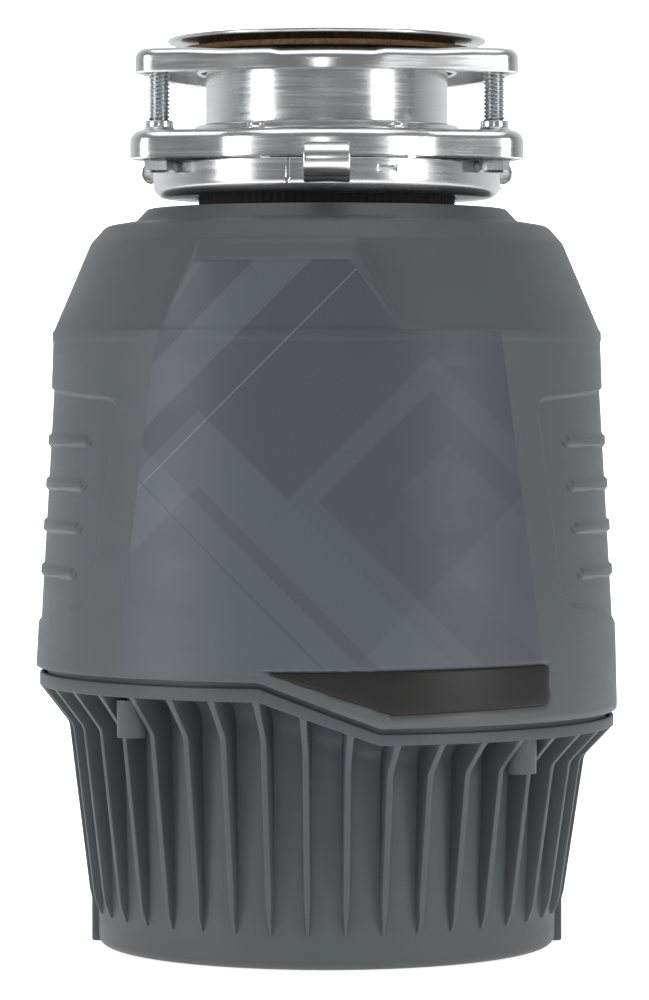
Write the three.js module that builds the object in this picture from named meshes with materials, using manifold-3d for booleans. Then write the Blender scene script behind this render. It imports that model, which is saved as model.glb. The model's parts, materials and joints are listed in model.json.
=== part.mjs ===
// Kitchen garbage disposal, millimetres, +Z up, origin at the centre of the base, front towards -Y.
import * as THREE from 'three';
import { mergeVertices } from 'three/addons/utils/BufferGeometryUtils.js';
import Module from 'manifold-3d';

const wasm = await Module();
wasm.setup();

// ---------------------------------------------------------------- driving dimensions
const GAP = 0.3;                 // between faces that touch on the real object
const RUN = 0.35;                // radial clearance of a turning fit

// heights of the main sections, from the base up
const frameZ = 30;               // underside of the lower end frame
const frameT = 4;
const coilH = 15;                // height of each winding
const stackH = 42;               // stator lamination stack
const bellT = 4;                 // floor of the drain chamber
const chamberH = 42.5;           // drain chamber, floor to rim
const containerH = 104.9;        // grind container, bottom flange to its neck flange
const shellTopGap = 7.3;         // container neck flange above the top of the casing
const mountH = 52.2;             // container flange to the top of the sink flange

// outer casing
const shell = { r: 104.5, wall: 2.5, seam: 100, seamStep: 15.5, seamGap: 1.8, stepFrom: -23, stepTo: 18 };
const shoulder = { rLow: shell.r - 5.7, rHigh: shell.r - 6.4, lowDrop: 63.5, highDrop: 44 };
const band = { left: shell.stepFrom + 3, right: 75, above: 3.7, below: 4.5, depth: 1.2 };
const can = {
  r: shell.r - 20.5, wall: 3, flareZ: 76, rimR: shell.r - 1.3, ribs: 40, ribT: 2.5, ribBottom: 15,
};
const ribLine = { bendR: can.r + 8.7, bendZ: 80, footR: can.r + 0.8 };
const base = { floor: 3, r: can.r - 2, fillet: 6, holeR: 14 };
const shellSides = 40;
const throatSides = 28;
const flatsClear = 1.006481481;  // a turned bore over the rim that its flats must clear
const bossR = shell.r - 9.5;     // shell screws stand on this radius
const shellScrewR = 1.7;
const screwAzimuths = [-45, 45, 135, -135];

// sink mount
const throat = { r: 43.4, wall: 1.6, lipR: 57.15, lipT: 1.5, groove: 0.8, bevel: 1.4 };
const bolt = { circle: throat.r + 24.6, r: 3.9, headR: 5.3, headH: 5 };
const boltAzimuths = [-60, 60, 180];
const fibre = { r: throat.r + 9.1, t: 2, below: 2.1 };
const crown = {
  eaveR: shoulder.rHigh - 13.4, eaveDrop: 12.4, brimR: shoulder.rHigh - 18.9, brimDrop: 6.2,
  skirtR: throat.r + 25.2, skirtDrop: 4.5, collarR: throat.r + 20.6,
};
const backup = { bodyR: throat.r + 16.6, lobeR: 8.5, wall: 2.2, h: 8.6, hemR: throat.r + 1.5, hemT: 1.6 };
const ring = { bodyR: throat.r + 19.1, lobeR: 10.5, corner: 25, wall: 2.2, h: 10.2 };
const lower = {
  r: throat.r + 18.8, wall: 2.4, h: 11.9, lipR: throat.r + 3.8, lugTube: 6, lugBore: 3.6, lugL: 16,
};
const lugR = lower.r + 7.4;      // centre of the rolled lugs
const hookAzimuths = [0, 120, 240];
const hookHalf = 11.5;           // half width of each bayonet hook, degrees
const gasketR = throat.r + 2.6;  // visible ridged skirt

// grinding section
const containerR = shell.r - 26.5;
const containerWall = 1.6;
const neckR = throat.r - 1.4;
const neckFlange = { r: neckR + 12, t: 1.5 };
const chamberR = containerR + 4;
const rimOut = 4;                // bolting rims stand out this far from the chamber's wall
const grindR = containerR - 7.7;
const turntable = { r: grindR - 1.1, t: 3, lift: 5.5, hubR: 14 };
const pinAt = turntable.r * 0.607;   // impeller pins from the axis
const pinR = 4;
const outlet = { bore: 15.5, r: 19, face: shell.r + 3, earAt: 30, earR: 7.5, plate: 4, screwR: 3.2 };
const inlet = { bore: 9, r: 11, face: shell.r - 1.5, flangeR: 15, below: 40 };

// motor
const shaftR = 6.35;
const hexFlat = 6.35;            // wrench socket, across flats
const spigotR = shaftR - 0.85;   // threaded top end of the shaft
const statorR = chamberR - 12.5;
const rotorR = statorR * 0.538;
const coil = { inner: statorR * 0.604, outer: statorR * 0.892 };
const hubR = shaftR + 11.65;     // bearing housings of both end frames
const bearing = { r: shaftR + 4.65, h: 9.4 };
const throughR = statorR + 5.1;
const throughBoltR = 2.4;

// ---------------------------------------------------------------- worked-out places
const windLowZ = frameZ + frameT + 10.5;
const stackZ = windLowZ + coilH + GAP;
const stackTop = stackZ + stackH;
const bellZ = stackTop + coilH + 2 * GAP;
const bellFloorTop = bellZ + bellT;
const bellTop = bellFloorTop + chamberH;
const flangeZ = bellTop + 2 * GAP + 1.4;              // container flange sits on its gasket
const turnZ = bellTop + turntable.lift;
const neckTop = flangeZ + containerH;                 // underside of the container's neck flange
const shellTop = neckTop - shellTopGap;
const mountTop = neckTop + neckFlange.t + mountH;
const outletZ = bellFloorTop + 0.8 + outlet.bore;
const inletZ = neckTop - 4.8 - inlet.below;

const leafLow = neckTop - GAP;                        // top of the mounting gasket's lower leaf
const leafHigh = neckTop + neckFlange.t + GAP;               // underside of its upper leaf
const leafT = 2.4;
const throatBottom = leafHigh + leafT + GAP;
const lowerZ = neckTop - 3.3;                         // underside of the lower mounting ring
const lowerTop = lowerZ + lower.h;
const ringZ = lowerTop + GAP + 0.1;
const ringTop = ringZ + ring.h;
const snapTop = ringTop - ring.wall - GAP;
const lipZ = mountTop - throat.lipT;                  // underside of the sink flange's lip
const gasketTop = lipZ - fibre.below;
const backupTop = gasketTop - fibre.t - GAP;
const screwTip = backupTop - backup.wall - GAP;

// ---------------------------------------------------------------- geometry helpers
const rad = (deg) => (deg * Math.PI) / 180;
/** Direction at an azimuth: 0 is the front (-Y), 90 is +X. */
const dir = (azimuth) => [Math.sin(rad(azimuth)), -Math.cos(rad(azimuth))];
/** Radius of a faceted bore whose flats stay outside a circle of radius r. */
const around = (r, sides) => r / Math.cos(Math.PI / sides);

/** Closed geometry to an exact solid: positions only, merged, with no sliver faces. */
function solid(geometry) {
  const bare = geometry.index ? geometry.clone() : geometry;
  bare.deleteAttribute('normal');
  bare.deleteAttribute('uv');
  const merged = mergeVertices(bare, 1e-4);
  const index = merged.index.array;
  const kept = [];
  for (let i = 0; i < index.length; i += 3) {
    const [a, b, c] = [index[i], index[i + 1], index[i + 2]];
    if (a !== b && b !== c && c !== a) kept.push(a, b, c);
  }
  const vertProperties = new Float32Array(merged.attributes.position.array);
  const triVerts = new Uint32Array(kept);
  let made = new wasm.Manifold(new wasm.Mesh({ numProp: 3, vertProperties, triVerts }));
  if (made.volume() < 0) {
    for (let i = 0; i < kept.length; i += 3) [kept[i], kept[i + 1]] = [kept[i + 1], kept[i]];
    made = new wasm.Manifold(new wasm.Mesh({ numProp: 3, vertProperties, triVerts: new Uint32Array(kept) }));
  }
  return made;
}

/** A closed profile of [radius, height] points turned about Z; ends on the axis or closes on itself. */
function turned(profile, sides = 36) {
  const onAxis = profile[0][0] === 0;
  const points = (onAxis ? profile : [...profile, profile[0]]).map(([r, z]) => new THREE.Vector2(r, z));
  return solid(new THREE.LatheGeometry(points, sides).rotateX(Math.PI / 2));
}

/** A ring between two radii and two heights. */
const tube = (r0, r1, z0, z1, sides = 36) => turned([[r0, z0], [r1, z0], [r1, z1], [r0, z1]], sides);
/** A round bar along Z. */
const bar = (r, z0, z1, sides = 20) => turned([[0, z0], [r, z0], [r, z1], [0, z1]], sides);

/** An outline of [x, y] points raised from z0 to z1, with holes given the same way. */
function raised(outline, z0, z1, holes = []) {
  const shape = new THREE.Shape(outline.map(([x, y]) => new THREE.Vector2(x, y)));
  for (const hole of holes) shape.holes.push(new THREE.Path(hole.map(([x, y]) => new THREE.Vector2(x, y))));
  const geometry = new THREE.ExtrudeGeometry(shape, { depth: z1 - z0, bevelEnabled: false });
  return solid(geometry.translate(0, 0, z0));
}

/** Points of a circle. */
function circle(r, cx = 0, cy = 0, sides = 20) {
  return Array.from({ length: sides }, (_, i) => {
    const a = (2 * Math.PI * i) / sides;
    return [cx + r * Math.cos(a), cy + r * Math.sin(a)];
  });
}

/** A block between two corners. */
function block(lo, hi) {
  const size = hi.map((v, i) => v - lo[i]);
  const at = hi.map((v, i) => (v + lo[i]) / 2);
  return solid(new THREE.BoxGeometry(...size).translate(...at));
}

/** A slice of a ring centred on an azimuth. */
function sector(r0, r1, azimuth, half, z0, z1, steps = 5) {
  const arc = (r) => Array.from({ length: steps + 1 }, (_, i) => {
    const [x, y] = dir(azimuth - half + (2 * half * i) / steps);
    return [r * x, r * y];
  });
  return raised([...arc(r1), ...arc(r0).reverse()], z0, z1);
}

/** Turns a solid made at the front round to an azimuth. */
const swing = (made, azimuth) => made.rotate([0, 0, azimuth]);
const moved = (made, x, y, z) => made.translate([x, y, z]);
const cut = (made, ...tools) => tools.reduce((left, tool) => left.subtract(tool), made);
const join = (made, ...others) => others.reduce((sum, other) => sum.add(other), made);

/** A round bar along +Y from y0 to y1 at height z. */
const barY = (r, y0, y1, z, x = 0, sides = 24) =>
  bar(r, y0, y1, sides).rotate([-90, 0, 0]).translate([x, 0, z]);

/** Outline of a disc with three lobes that reach out to the bolts. */
function lobed(bodyR, lobeR, corner, shrink = 0) {
  const r = lobeR - shrink;
  const body = bodyR - shrink;
  const points = [];
  for (const azimuth of [-60, 60, 180]) {
    const [ux, uy] = dir(azimuth);
    const [vx, vy] = [-uy, ux];
    const start = [body * Math.cos(rad(corner)), body * Math.sin(rad(corner))];
    const reach = Math.hypot(bolt.circle - start[0], start[1]);
    const lean = Math.asin(r / reach) + Math.atan2(-start[1], bolt.circle - start[0]);
    const tangent = lean + Math.PI / 2;
    const flank = (side) => {
      const list = [];
      for (let i = 0; i <= 3; i += 1) {
        const a = (tangent * (3 - i)) / 3;
        list.push([bolt.circle + r * Math.cos(a), side * r * Math.sin(a)]);
      }
      return list;
    };
    const rising = flank(-1);
    const falling = flank(1).reverse().slice(1);
    for (const [u, v] of [...rising, ...falling]) points.push([u * ux + v * vx, u * uy + v * vy]);
    const from = azimuth + corner;
    const to = azimuth + 120 - corner;
    const steps = Math.max(2, Math.round((to - from) / 12));
    for (let i = 0; i <= steps; i += 1) {
      const [x, y] = dir(from + ((to - from) * i) / steps);
      points.push([body * x, body * y]);
    }
  }
  return points;
}

/** Angle from a lobe's centre line at which its side is tangent to the body disc. */
const hullCorner = (bodyR, lobeR) => (Math.acos((bodyR - lobeR) / bolt.circle) * 180) / Math.PI;

/** How far the casing's seam lies below its high side at x. */
function seamDrop(x) {
  const share = (x - shell.stepFrom) / (shell.stepTo - shell.stepFrom);
  return shell.seamStep * Math.min(1, Math.max(0, share));
}

/** Lowers a solid's points towards the seam: nothing at height still, the full step at height full. */
function followSeam(made, still, full) {
  return made.warp((p) => {
    const share = Math.min(1, Math.max(0, (p[2] - still) / (full - still)));
    p[2] -= seamDrop(p[0]) * share;
  });
}

// ---------------------------------------------------------------- the scene graph
const group = new THREE.Group();

/** Adds one finished sub-part. */
function add(name, made, finish) {
  const mesh = made.getMesh();
  const geometry = new THREE.BufferGeometry();
  geometry.setAttribute('position', new THREE.BufferAttribute(new Float32Array(mesh.vertProperties), 3));
  geometry.setIndex(new THREE.BufferAttribute(new Uint32Array(mesh.triVerts), 1));
  geometry.computeVertexNormals();
  const [color, roughness, metalness] = finish;
  const material = new THREE.MeshStandardMaterial({ color, roughness, metalness });
  const part = new THREE.Mesh(geometry, material);
  part.name = name;
  group.add(part);
}

const STEEL = [0xb9bcc0, 0.25, 1];
const ZINC = [0xa8abae, 0.4, 1];
const GREY = [0x5d6064, 0.5, 0];
const DARK = [0x4a4d50, 0.55, 0];
const BLACK = [0x1b1b1c, 0.45, 0];
const RUBBER = [0x121212, 0.85, 0];
const FIBRE = [0x6b4a2c, 0.9, 0];
const FOAM = [0x2b2c2e, 0.95, 0];
const CAST = [0x8b8e90, 0.6, 1];
const IRON = [0x55585c, 0.6, 1];
const COPPER = [0xa8582c, 0.4, 1];
const BRONZE = [0x9a7038, 0.5, 1];
const RED = [0xb01c14, 0.4, 0];

// ---------------------------------------------------------------- sink mount
function sinkFlange() {
  const inner = throat.r - throat.wall;
  const groove = [snapTop - 2.6, snapTop + 0.1];
  return turned([
    [inner, throatBottom], [throat.r, throatBottom], [throat.r, groove[0]],
    [throat.r - throat.groove, groove[0]], [throat.r - throat.groove, groove[1]], [throat.r, groove[1]],
    [throat.r, lipZ], [throat.lipR, lipZ], [throat.lipR, mountTop],
    [inner + throat.bevel, mountTop], [inner, mountTop - throat.bevel],
  ], throatSides);
}

function backupFlange() {
  const corner = hullCorner(backup.bodyR, backup.lobeR);
  const bottom = backupTop - backup.h;
  const body = raised(lobed(backup.bodyR, backup.lobeR, corner), bottom, backupTop);
  const inside = lobed(backup.bodyR, backup.lobeR, corner, backup.wall);
  const hollow = raised(inside, bottom - 1, backupTop - backup.wall);
  const hem = tube(backup.hemR, backup.hemR + backup.hemT, bottom + 2, backupTop - 1, throatSides);
  const opening = bar(around(backup.hemR, throatSides), bottom - 1, backupTop + 1, throatSides);
  return cut(join(cut(body, hollow), hem), opening);
}

/** A mounting screw, made at the front: shank through the ring's lobe, hexagonal head below it. */
function mountingScrew() {
  const headTop = ringZ + 0.6 - GAP;
  const head = bar(bolt.headR, headTop - bolt.headH, headTop, 6);
  const slotZ = headTop - bolt.headH;
  const slot = block([-bolt.headR, -0.8, slotZ - 1], [bolt.headR, 0.8, slotZ + 1.6]);
  const shank = bar(bolt.r, headTop - 1, screwTip - 1.2, 16);
  const tip = turned([
    [0, screwTip - 2], [bolt.r, screwTip - 2], [bolt.r - 1.4, screwTip], [0, screwTip],
  ], 16);
  return moved(join(cut(head, slot), shank, tip), 0, -bolt.circle, 0);
}

function mountingRing() {
  const outline = lobed(ring.bodyR, ring.lobeR, ring.corner);
  const inside = lobed(ring.bodyR, ring.lobeR, ring.corner, ring.wall);
  const body = cut(raised(outline, ringZ, ringTop), raised(inside, ringZ - 1, ringTop - ring.wall));
  const bead = turned([
    [throat.r - 1, ringTop - 1.4], [throat.r + 5.6, ringTop - 1.4], [throat.r + 4.2, ringTop + 3.3],
    [throat.r - 1, ringTop + 3.3],
  ], 28);
  const collars = boltAzimuths.map((az) => {
    const [x, y] = dir(az);
    return moved(bar(bolt.r + 0.9, ringZ + 0.8, ringTop + 3.3, 14), bolt.circle * x, bolt.circle * y, 0);
  });
  const inner = lower.r - lower.wall;
  const hooks = hookAzimuths.flatMap((az) => [
    sector(inner - 3.2, inner - 1.8, az, hookHalf, lowerTop - 5.4, ringTop - 1),
    sector(inner - 3.2, inner - 2 * GAP, az, hookHalf, lowerTop - 5.4, lowerTop - 2.7),
  ]);
  const holes = boltAzimuths.map((az) => {
    const [x, y] = dir(az);
    const drill = bar(around(bolt.r + RUN, 14), ringZ - 2, ringTop + 5, 14);
    return moved(drill, bolt.circle * x, bolt.circle * y, 0);
  });
  const opening = bar(around(throat.r + 0.4, throatSides), ringZ - 1, ringTop + 5, throatSides);
  return cut(join(body, bead, ...collars, ...hooks), opening, ...holes);
}

function snapRing() {
  const made = tube(around(throat.r - throat.groove + 0.2, 24), throat.r + 3.2, snapTop - 2.3, snapTop, 24);
  return cut(made, block([-4, throat.r - 10, snapTop - 4], [4, throat.r + 10, snapTop + 2]));
}

function lowerMountingRing() {
  const r = lower.r;
  const wall = turned([
    [lower.lipR, lowerZ], [r - 5, lowerZ], [r - 1.4, lowerZ + 1.6], [r, lowerZ + 5], [r, lowerTop],
    [r - lower.wall, lowerTop], [r - lower.wall, lowerZ + 4.5], [r - 5.5, lowerZ + 1.5],
    [lower.lipR, lowerZ + 1.5],
  ], 36);
  const lugZ = lowerZ + 10.6;
  const half = lower.lugL / 2;
  const lugs = [0, 120, 240].map((az) => {
    const roll = bar(lower.lugTube, -half, half, 16).rotate([0, 90, 0]).translate([0, -lugR, lugZ]);
    const web = block([-half, -lugR, lowerZ + 4.8], [half, -r + 2, lowerTop - 0.8]);
    const bore = bar(lower.lugBore, -half - 1, half + 1, 12).rotate([0, 90, 0]).translate([0, -lugR, lugZ]);
    return swing(cut(join(roll, web), bore), az);
  });
  const ledges = hookAzimuths.map((az) =>
    sector(r - lower.wall - 1.4, r - 1, az, hookHalf, lowerTop - 2.4, lowerTop));
  return join(wall, ...ledges, ...lugs.map((lug) => cut(lug, bar(r - 1, lowerZ - 1, lowerTop + 12, 36))));
}

function mountingGasket() {
  const r = gasketR;
  const skirt = neckR + RUN;
  const bottom = shellTop + GAP;
  const rim = neckFlange.r * flatsClear;
  return turned([
    [skirt, bottom], [r, bottom], [r, leafLow - 1.2], [rim + 1.6, leafLow - 1.2],
    [rim + 1.6, leafHigh + leafT], [neckR - 1.8, leafHigh + leafT],
    [neckR - 1.8, leafHigh], [rim, leafHigh], [rim, leafLow], [skirt, leafLow],
  ], 28);
}

/** Slit rubber guard that hangs in the throat by its lip. */
function splashGuard() {
  const r = neckR - containerWall - 0.8;
  const top = leafHigh + leafT + GAP;
  const body = turned([
    [r - 2, top - 13], [r, top - 13], [r, top], [r + 1.3, top], [r + 1.3, top + 1.7], [r - 2, top + 1.7],
    [r - 2, top - 4], [11, top - 10], [11, top - 12], [r - 2, top - 6.4],
  ], 24);
  const slits = Array.from({ length: 6 }, (_, i) =>
    swing(block([-0.7, -(r - 5), top - 20], [0.7, -5, top - 2]), i * 60));
  return cut(body, ...slits);
}

// ---------------------------------------------------------------- casing
function upperShell() {
  const w = shell.wall;
  const seam = shell.seam;
  const collar = shellTop - w;
  const [zLow, zHigh] = [shellTop - shoulder.lowDrop, shellTop - shoulder.highDrop];
  const body = followSeam(turned([
    [shell.r, seam], [shoulder.rLow, zLow], [shoulder.rHigh, zHigh], [crown.eaveR, shellTop - crown.eaveDrop],
    [crown.brimR, shellTop - crown.brimDrop], [crown.skirtR, shellTop - crown.skirtDrop],
    [crown.collarR, shellTop], [neckR + 2, shellTop], [neckR + 2, collar], [crown.collarR - 1, collar],
    [crown.brimR - 1.4, shellTop - crown.brimDrop - w], [crown.eaveR - 2.4, shellTop - crown.eaveDrop - 1.1],
    [shoulder.rHigh - w, zHigh - 0.8], [shell.r - w, seam + 9],
    [shell.r - w - 3, seam + 7], [shell.r - w - 3, seam - 3.5], [shell.r - w - 1.4, seam - 3.5],
    [shell.r - w - 1.4, seam],
  ], shellSides), seam + 12, seam);
  const bosses = [];
  const pilots = [];
  for (const az of screwAzimuths) {
    const [x, y] = [dir(az)[0] * bossR, dir(az)[1] * bossR];
    const bottom = seam - 3 - seamDrop(x);
    bosses.push(moved(bar(4.5, bottom, seam + 25, 12), x, y, 0));
    bosses.push(swing(block([-1.5, -(shell.r - w + 0.6), seam + 1], [1.5, -bossR, seam + 24]), az));
    pilots.push(moved(bar(shellScrewR + 0.4, bottom - 1, bottom + 19, 12), x, y, 0));
  }
  const outletWindow = barY(outlet.r + 2, containerR, shell.r + 20, outletZ);
  const inletWindow = barY(inlet.r + 1.2, containerR, shell.r + 20, inletZ);
  return cut(join(body, ...bosses), ...pilots, outletWindow, inletWindow, bandRecess(0));
}

/** Space of the front band on the shell's face; margin keeps the band clear of its recess. */
function bandRecess(margin) {
  const seamLow = shell.seam - shell.seamStep;
  const top = shell.seam + band.above - margin;
  const low = seamLow + band.below + margin;
  const outline = [
    [band.left + 6 * margin, top], [band.right - margin, top + 0.6], [band.right + 1.5 - margin, low + 1],
    [shell.stepTo + 4 + 0.2 * margin, low],
  ];
  const plate = raised(outline, shell.r / 2, shell.r + 20).rotate([90, 0, 0]);
  return plate.subtract(bar(shell.r - band.depth + margin, shell.seam - 30, shell.seam + 20, shellSides));
}

function frontBand() {
  return bandRecess(GAP).intersect(bar(shell.r - 0.35, shell.seam - 30, shell.seam + 20, shellSides));
}

function lowerShell() {
  const rimTop = shell.seam - shell.seamGap;
  const w = can.wall;
  const wall = turned([
    [base.r - base.fillet, 0], [base.r, base.fillet], [can.r, can.flareZ], [can.rimR, rimTop - 5],
    [can.rimR, rimTop], [can.rimR - 1.6, rimTop],
    [can.rimR - 1.6, rimTop - 3], [can.r - w + 0.4, can.flareZ + 1.5], [base.r - w, base.fillet + 1],
    [base.r - w - 4, base.floor], [base.holeR, base.floor], [base.holeR, 0],
  ], can.ribs);
  const ribOutline = [
    [can.r - 2, can.ribBottom - 2], [ribLine.footR - 1.4, can.ribBottom - 2], [ribLine.footR, can.ribBottom],
    [ribLine.bendR, ribLine.bendZ], [can.rimR - 1, rimTop - 5.2], [can.r - 2, can.flareZ],
  ];
  const half = can.ribT / 2;
  const rib = raised(ribOutline, -half, half).rotate([90, 0, 0]);
  const ribs = Array.from({ length: can.ribs }, (_, i) => rib.rotate([0, 0, (360 / can.ribs) * (i + 0.5)]));
  const feet = [0, 180].map((turn) =>
    block([base.r - 3, -3, 0.4], [base.r + 2.6, 3, 17]).rotate([0, 0, turn]));
  let made = followSeam(join(wall, ...ribs, ...feet), can.ribBottom, rimTop);
  for (const az of screwAzimuths) {
    const [x, y] = [dir(az)[0] * bossR, dir(az)[1] * bossR];
    const z = screwSeat(x);
    made = cut(join(made, moved(bar(5.4, z, z + 7, 12), x, y, 0)),
      moved(bar(shellScrewR + 0.7, z - 1, z + 14, 12), x, y, 0), moved(bar(5.2, z - 14, z, 12), x, y, 0));
  }
  return cut(made, moved(bar(buttonR + 0.8, -1, 5, 16), ...buttonAt, 0),
    raised(coverOutline(GAP), -1, coverT + 2 * GAP), raised(coverOutline(-6), -1, base.floor + 1),
    moved(bar(2.3, -1, 5, 10), ...coverScrewAt, 0));
}

/** Height of the seat under a shell screw's head, lower where the seam is lower. */
function screwSeat(x) {
  const high = can.flareZ + 6;
  const share = (high - can.ribBottom) / (shell.seam - shell.seamGap - can.ribBottom);
  return high - seamDrop(x) * share;
}

function shellScrew(azimuth) {
  const x = dir(azimuth)[0] * bossR;
  const z = screwSeat(x);
  const bossBottom = shell.seam - 3 - seamDrop(x);
  const head = turned([[0, z - 3], [2.4, z - 3], [4, z - 1.6], [4, z - GAP], [0, z - GAP]], 12);
  return moved(join(head, bar(shellScrewR, z - 1, bossBottom + 16, 10)), x, dir(azimuth)[1] * bossR, 0);
}

function soundInsulation() {
  const outside = shoulder.rLow - shell.wall - 2.5;
  return tube(containerR + 1.2, outside, flangeZ + 8, inletZ - inlet.flangeR - 1, 28);
}

// ---------------------------------------------------------------- grinding section
function grindContainer() {
  const w = containerWall;
  const r = containerR;
  const bend = neckTop - 31;
  const made = turned([
    [r - w, flangeZ], [chamberR + rimOut, flangeZ], [chamberR + rimOut, flangeZ + 2], [r, flangeZ + 2],
    [r, bend], [r - 8, bend + 7], [neckR + 8, bend + 12], [neckR, bend + 16], [neckR, neckTop],
    [neckFlange.r, neckTop], [neckFlange.r, neckTop + neckFlange.t], [neckR - w, neckTop + neckFlange.t],
    [neckR - w, bend + 15], [neckR + 7.5, bend + 10.2], [r - 9, bend + 5.3], [r - w, bend - 1],
  ], 32);
  return cut(made, barY(inlet.bore, r - 18, r + 12, inletZ, 0, 20));
}

function clampBand() {
  const sides = 28;
  const r = around(chamberR + rimOut + GAP, sides);
  const lip = around(chamberR + GAP, sides);
  const low = bellTop - 3.5 - GAP;
  const top = flangeZ + 2 + GAP;
  return turned([
    [lip, low - 1.5], [r + 1.5, low - 1.5], [r + 1.5, top + 1.5], [containerR + 1.5, top + 1.5],
    [containerR + 1.5, top], [r, top], [r, low], [lip, low],
  ], sides);
}

function grindRing() {
  const outer = containerR - containerWall - 0.6;
  const low = flangeZ + 0.8;
  const teeth = Array.from({ length: 8 }, (_, i) =>
    swing(block([-3.5, -outer - 3, low + 5], [3.5, -outer + 4.2, low + 15]), i * 45 + 11));
  return cut(tube(around(grindR, 32), outer, low, low + 22, 32), ...teeth);
}

function upperEndBell() {
  const wallIn = chamberR - 3;
  const sealR = shaftR + 7.25;
  const passR = shaftR + 1.85;
  const made = turned([
    [around(bearing.r + GAP, 20), bellZ - 12], [hubR, bellZ - 12], [hubR, bellZ], [statorR - 4, bellZ],
    [statorR - 4, stackTop + GAP], [statorR, stackTop + GAP], [statorR, bellZ], [chamberR, bellZ],
    [chamberR, bellTop - 3.5], [chamberR + rimOut, bellTop - 3.5], [chamberR + rimOut, bellTop],
    [wallIn, bellTop],
    [wallIn, bellFloorTop], [hubR, bellFloorTop + 2], [hubR, bellFloorTop + 7], [sealR, bellFloorTop + 7],
    [sealR, bellZ + 2], [passR, bellZ + 2], [passR, bellZ - 1], [around(bearing.r + GAP, 20), bellZ - 1],
  ], 20);
  const spout = barY(outlet.r, chamberR - 2, outlet.face, outletZ);
  const ear = (side) => circle(outlet.earR, side * outlet.earAt, -outletZ, 16);
  const plateShape = [
    ...ear(1).filter(([x]) => x >= outlet.earAt), ...ear(-1).filter(([x]) => x <= -outlet.earAt),
  ];
  const middle = circle(outlet.r + 1.5, 0, -outletZ, 24);
  const plate = join(
    raised(plateShape.sort(byAngle(0, -outletZ)), outlet.face - outlet.plate, outlet.face),
    raised(middle, outlet.face - outlet.plate, outlet.face),
  ).rotate([-90, 0, 0]);
  const bores = [-1, 1].map((side) => barY(outlet.screwR, outlet.face - 12, outlet.face + 5, outletZ,
    side * outlet.earAt, 12));
  const bolts = throughAzimuths.map((az) => moved(bar(throughBoltR + 0.5, bellZ - 1, bellZ + 2.8, 12),
    ...spot(az, throughR), 0));
  return cut(join(made, spout, plate), barY(outlet.bore, chamberR - 20, outlet.face + 10, outletZ, 0, 24),
    ...bores, ...bolts);
}

/** Sorts outline points by their direction from a centre. */
function byAngle(cx, cy) {
  return (a, b) => Math.atan2(a[1] - cy, a[0] - cx) - Math.atan2(b[1] - cy, b[0] - cx);
}

function dishwasherInlet() {
  const from = containerR + GAP;
  const pipe = barY(inlet.r, from, inlet.face, inletZ, 0, 20);
  const flange = barY(inlet.flangeR, from, from + 2, inletZ, 0, 20);
  const barb = barY(inlet.r + 0.8, inlet.face - 4, inlet.face - 1.5, inletZ, 0, 20);
  return cut(join(pipe, flange, barb), barY(inlet.bore, from - 10, inlet.face + 10, inletZ, 0, 20));
}

const inletPlug = () => join(barY(inlet.bore - GAP, containerR + 1, containerR + 3.5, inletZ, 0, 20),
  barY(2, containerR + 3, containerR + 7, inletZ, 0, 8));

function turntableDisc() {
  const { r, t, hubR: hub } = turntable;
  const bore = around(shaftR + GAP, 20);
  const made = turned([
    [bore, turnZ - 8], [hub, turnZ - 8], [hub, turnZ], [r, turnZ], [r, turnZ + t], [bore, turnZ + t],
  ], 32);
  const holes = [-1, 1].map((side) => moved(bar(pinR + GAP, turnZ - 9, turnZ + 9, 16), side * pinAt, 0, 0));
  const drains = Array.from({ length: 4 }, (_, i) =>
    moved(bar(3, turnZ - 9, turnZ + 9, 8), ...spot(45 + i * 90, r * 0.8), 0));
  return cut(made, ...holes, ...drains);
}

/** An impeller on its pin, long end outwards; side is -1 or 1 along X. */
function impeller(side) {
  const z = turnZ + turntable.t + GAP;
  const reach = grindR - pinAt - 4;
  const outline = [
    [-13, -8], [reach - 4, -9], [reach, -5], [reach, 5], [reach - 4, 9], [-13, 8], [-15, 4], [-15, -4],
  ].map(([x, y]) => [side * x + side * pinAt, side * y]);
  const toe = raised([[6, -9], [reach - 4, -9], [reach, -5], [reach, 5], [reach - 4, 9], [6, 9]]
    .map(([x, y]) => [side * x + side * pinAt, side * y]), z + 6, z + 15);
  const bore = moved(bar(around(pinR + RUN, 16), z - 1, z + 20, 16), side * pinAt, 0, 0);
  const clear = moved(bar(7.6, z + 7, z + 20, 16), side * pinAt, 0, 0);
  return cut(join(raised(outline, z, z + 7), toe), bore, clear);
}

function impellerPin(side) {
  const z = turnZ + turntable.t + GAP;
  const made = turned([
    [0, turnZ - 4], [pinR, turnZ - 4], [pinR, z + 7 + GAP], [6.4, z + 7 + GAP], [6.4, z + 8.8], [5, z + 9.8],
    [0, z + 9.8],
  ], 16);
  return moved(made, side * pinAt, 0, 0);
}

const turntableNut = () => cut(bar(spigotR * 2, turnZ + turntable.t + GAP, turnZ + turntable.t + 9, 6),
  bar(around(spigotR + GAP, 16), turnZ, turnZ + 20, 16));

// ---------------------------------------------------------------- motor
function motorShaft() {
  const step = turnZ + turntable.t;
  const made = turned([
    [0, 5], [shaftR - 0.6, 5], [shaftR, 6], [shaftR, step], [spigotR, step], [spigotR, step + 11],
    [spigotR - 1, step + 12], [0, step + 12],
  ], 20);
  return cut(made, bar(around(hexFlat / 2, 6), 0, 20, 6));
}

function rotorCore() {
  const bore = around(shaftR + 0.2, 20);
  return turned([
    [bore, stackZ - 3], [rotorR - 7.4, stackZ - 3], [rotorR - 3.4, stackZ], [rotorR, stackZ],
    [rotorR, stackTop], [rotorR - 3.4, stackTop], [rotorR - 7.4, stackTop + 3], [bore, stackTop + 3],
  ], 24);
}

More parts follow.
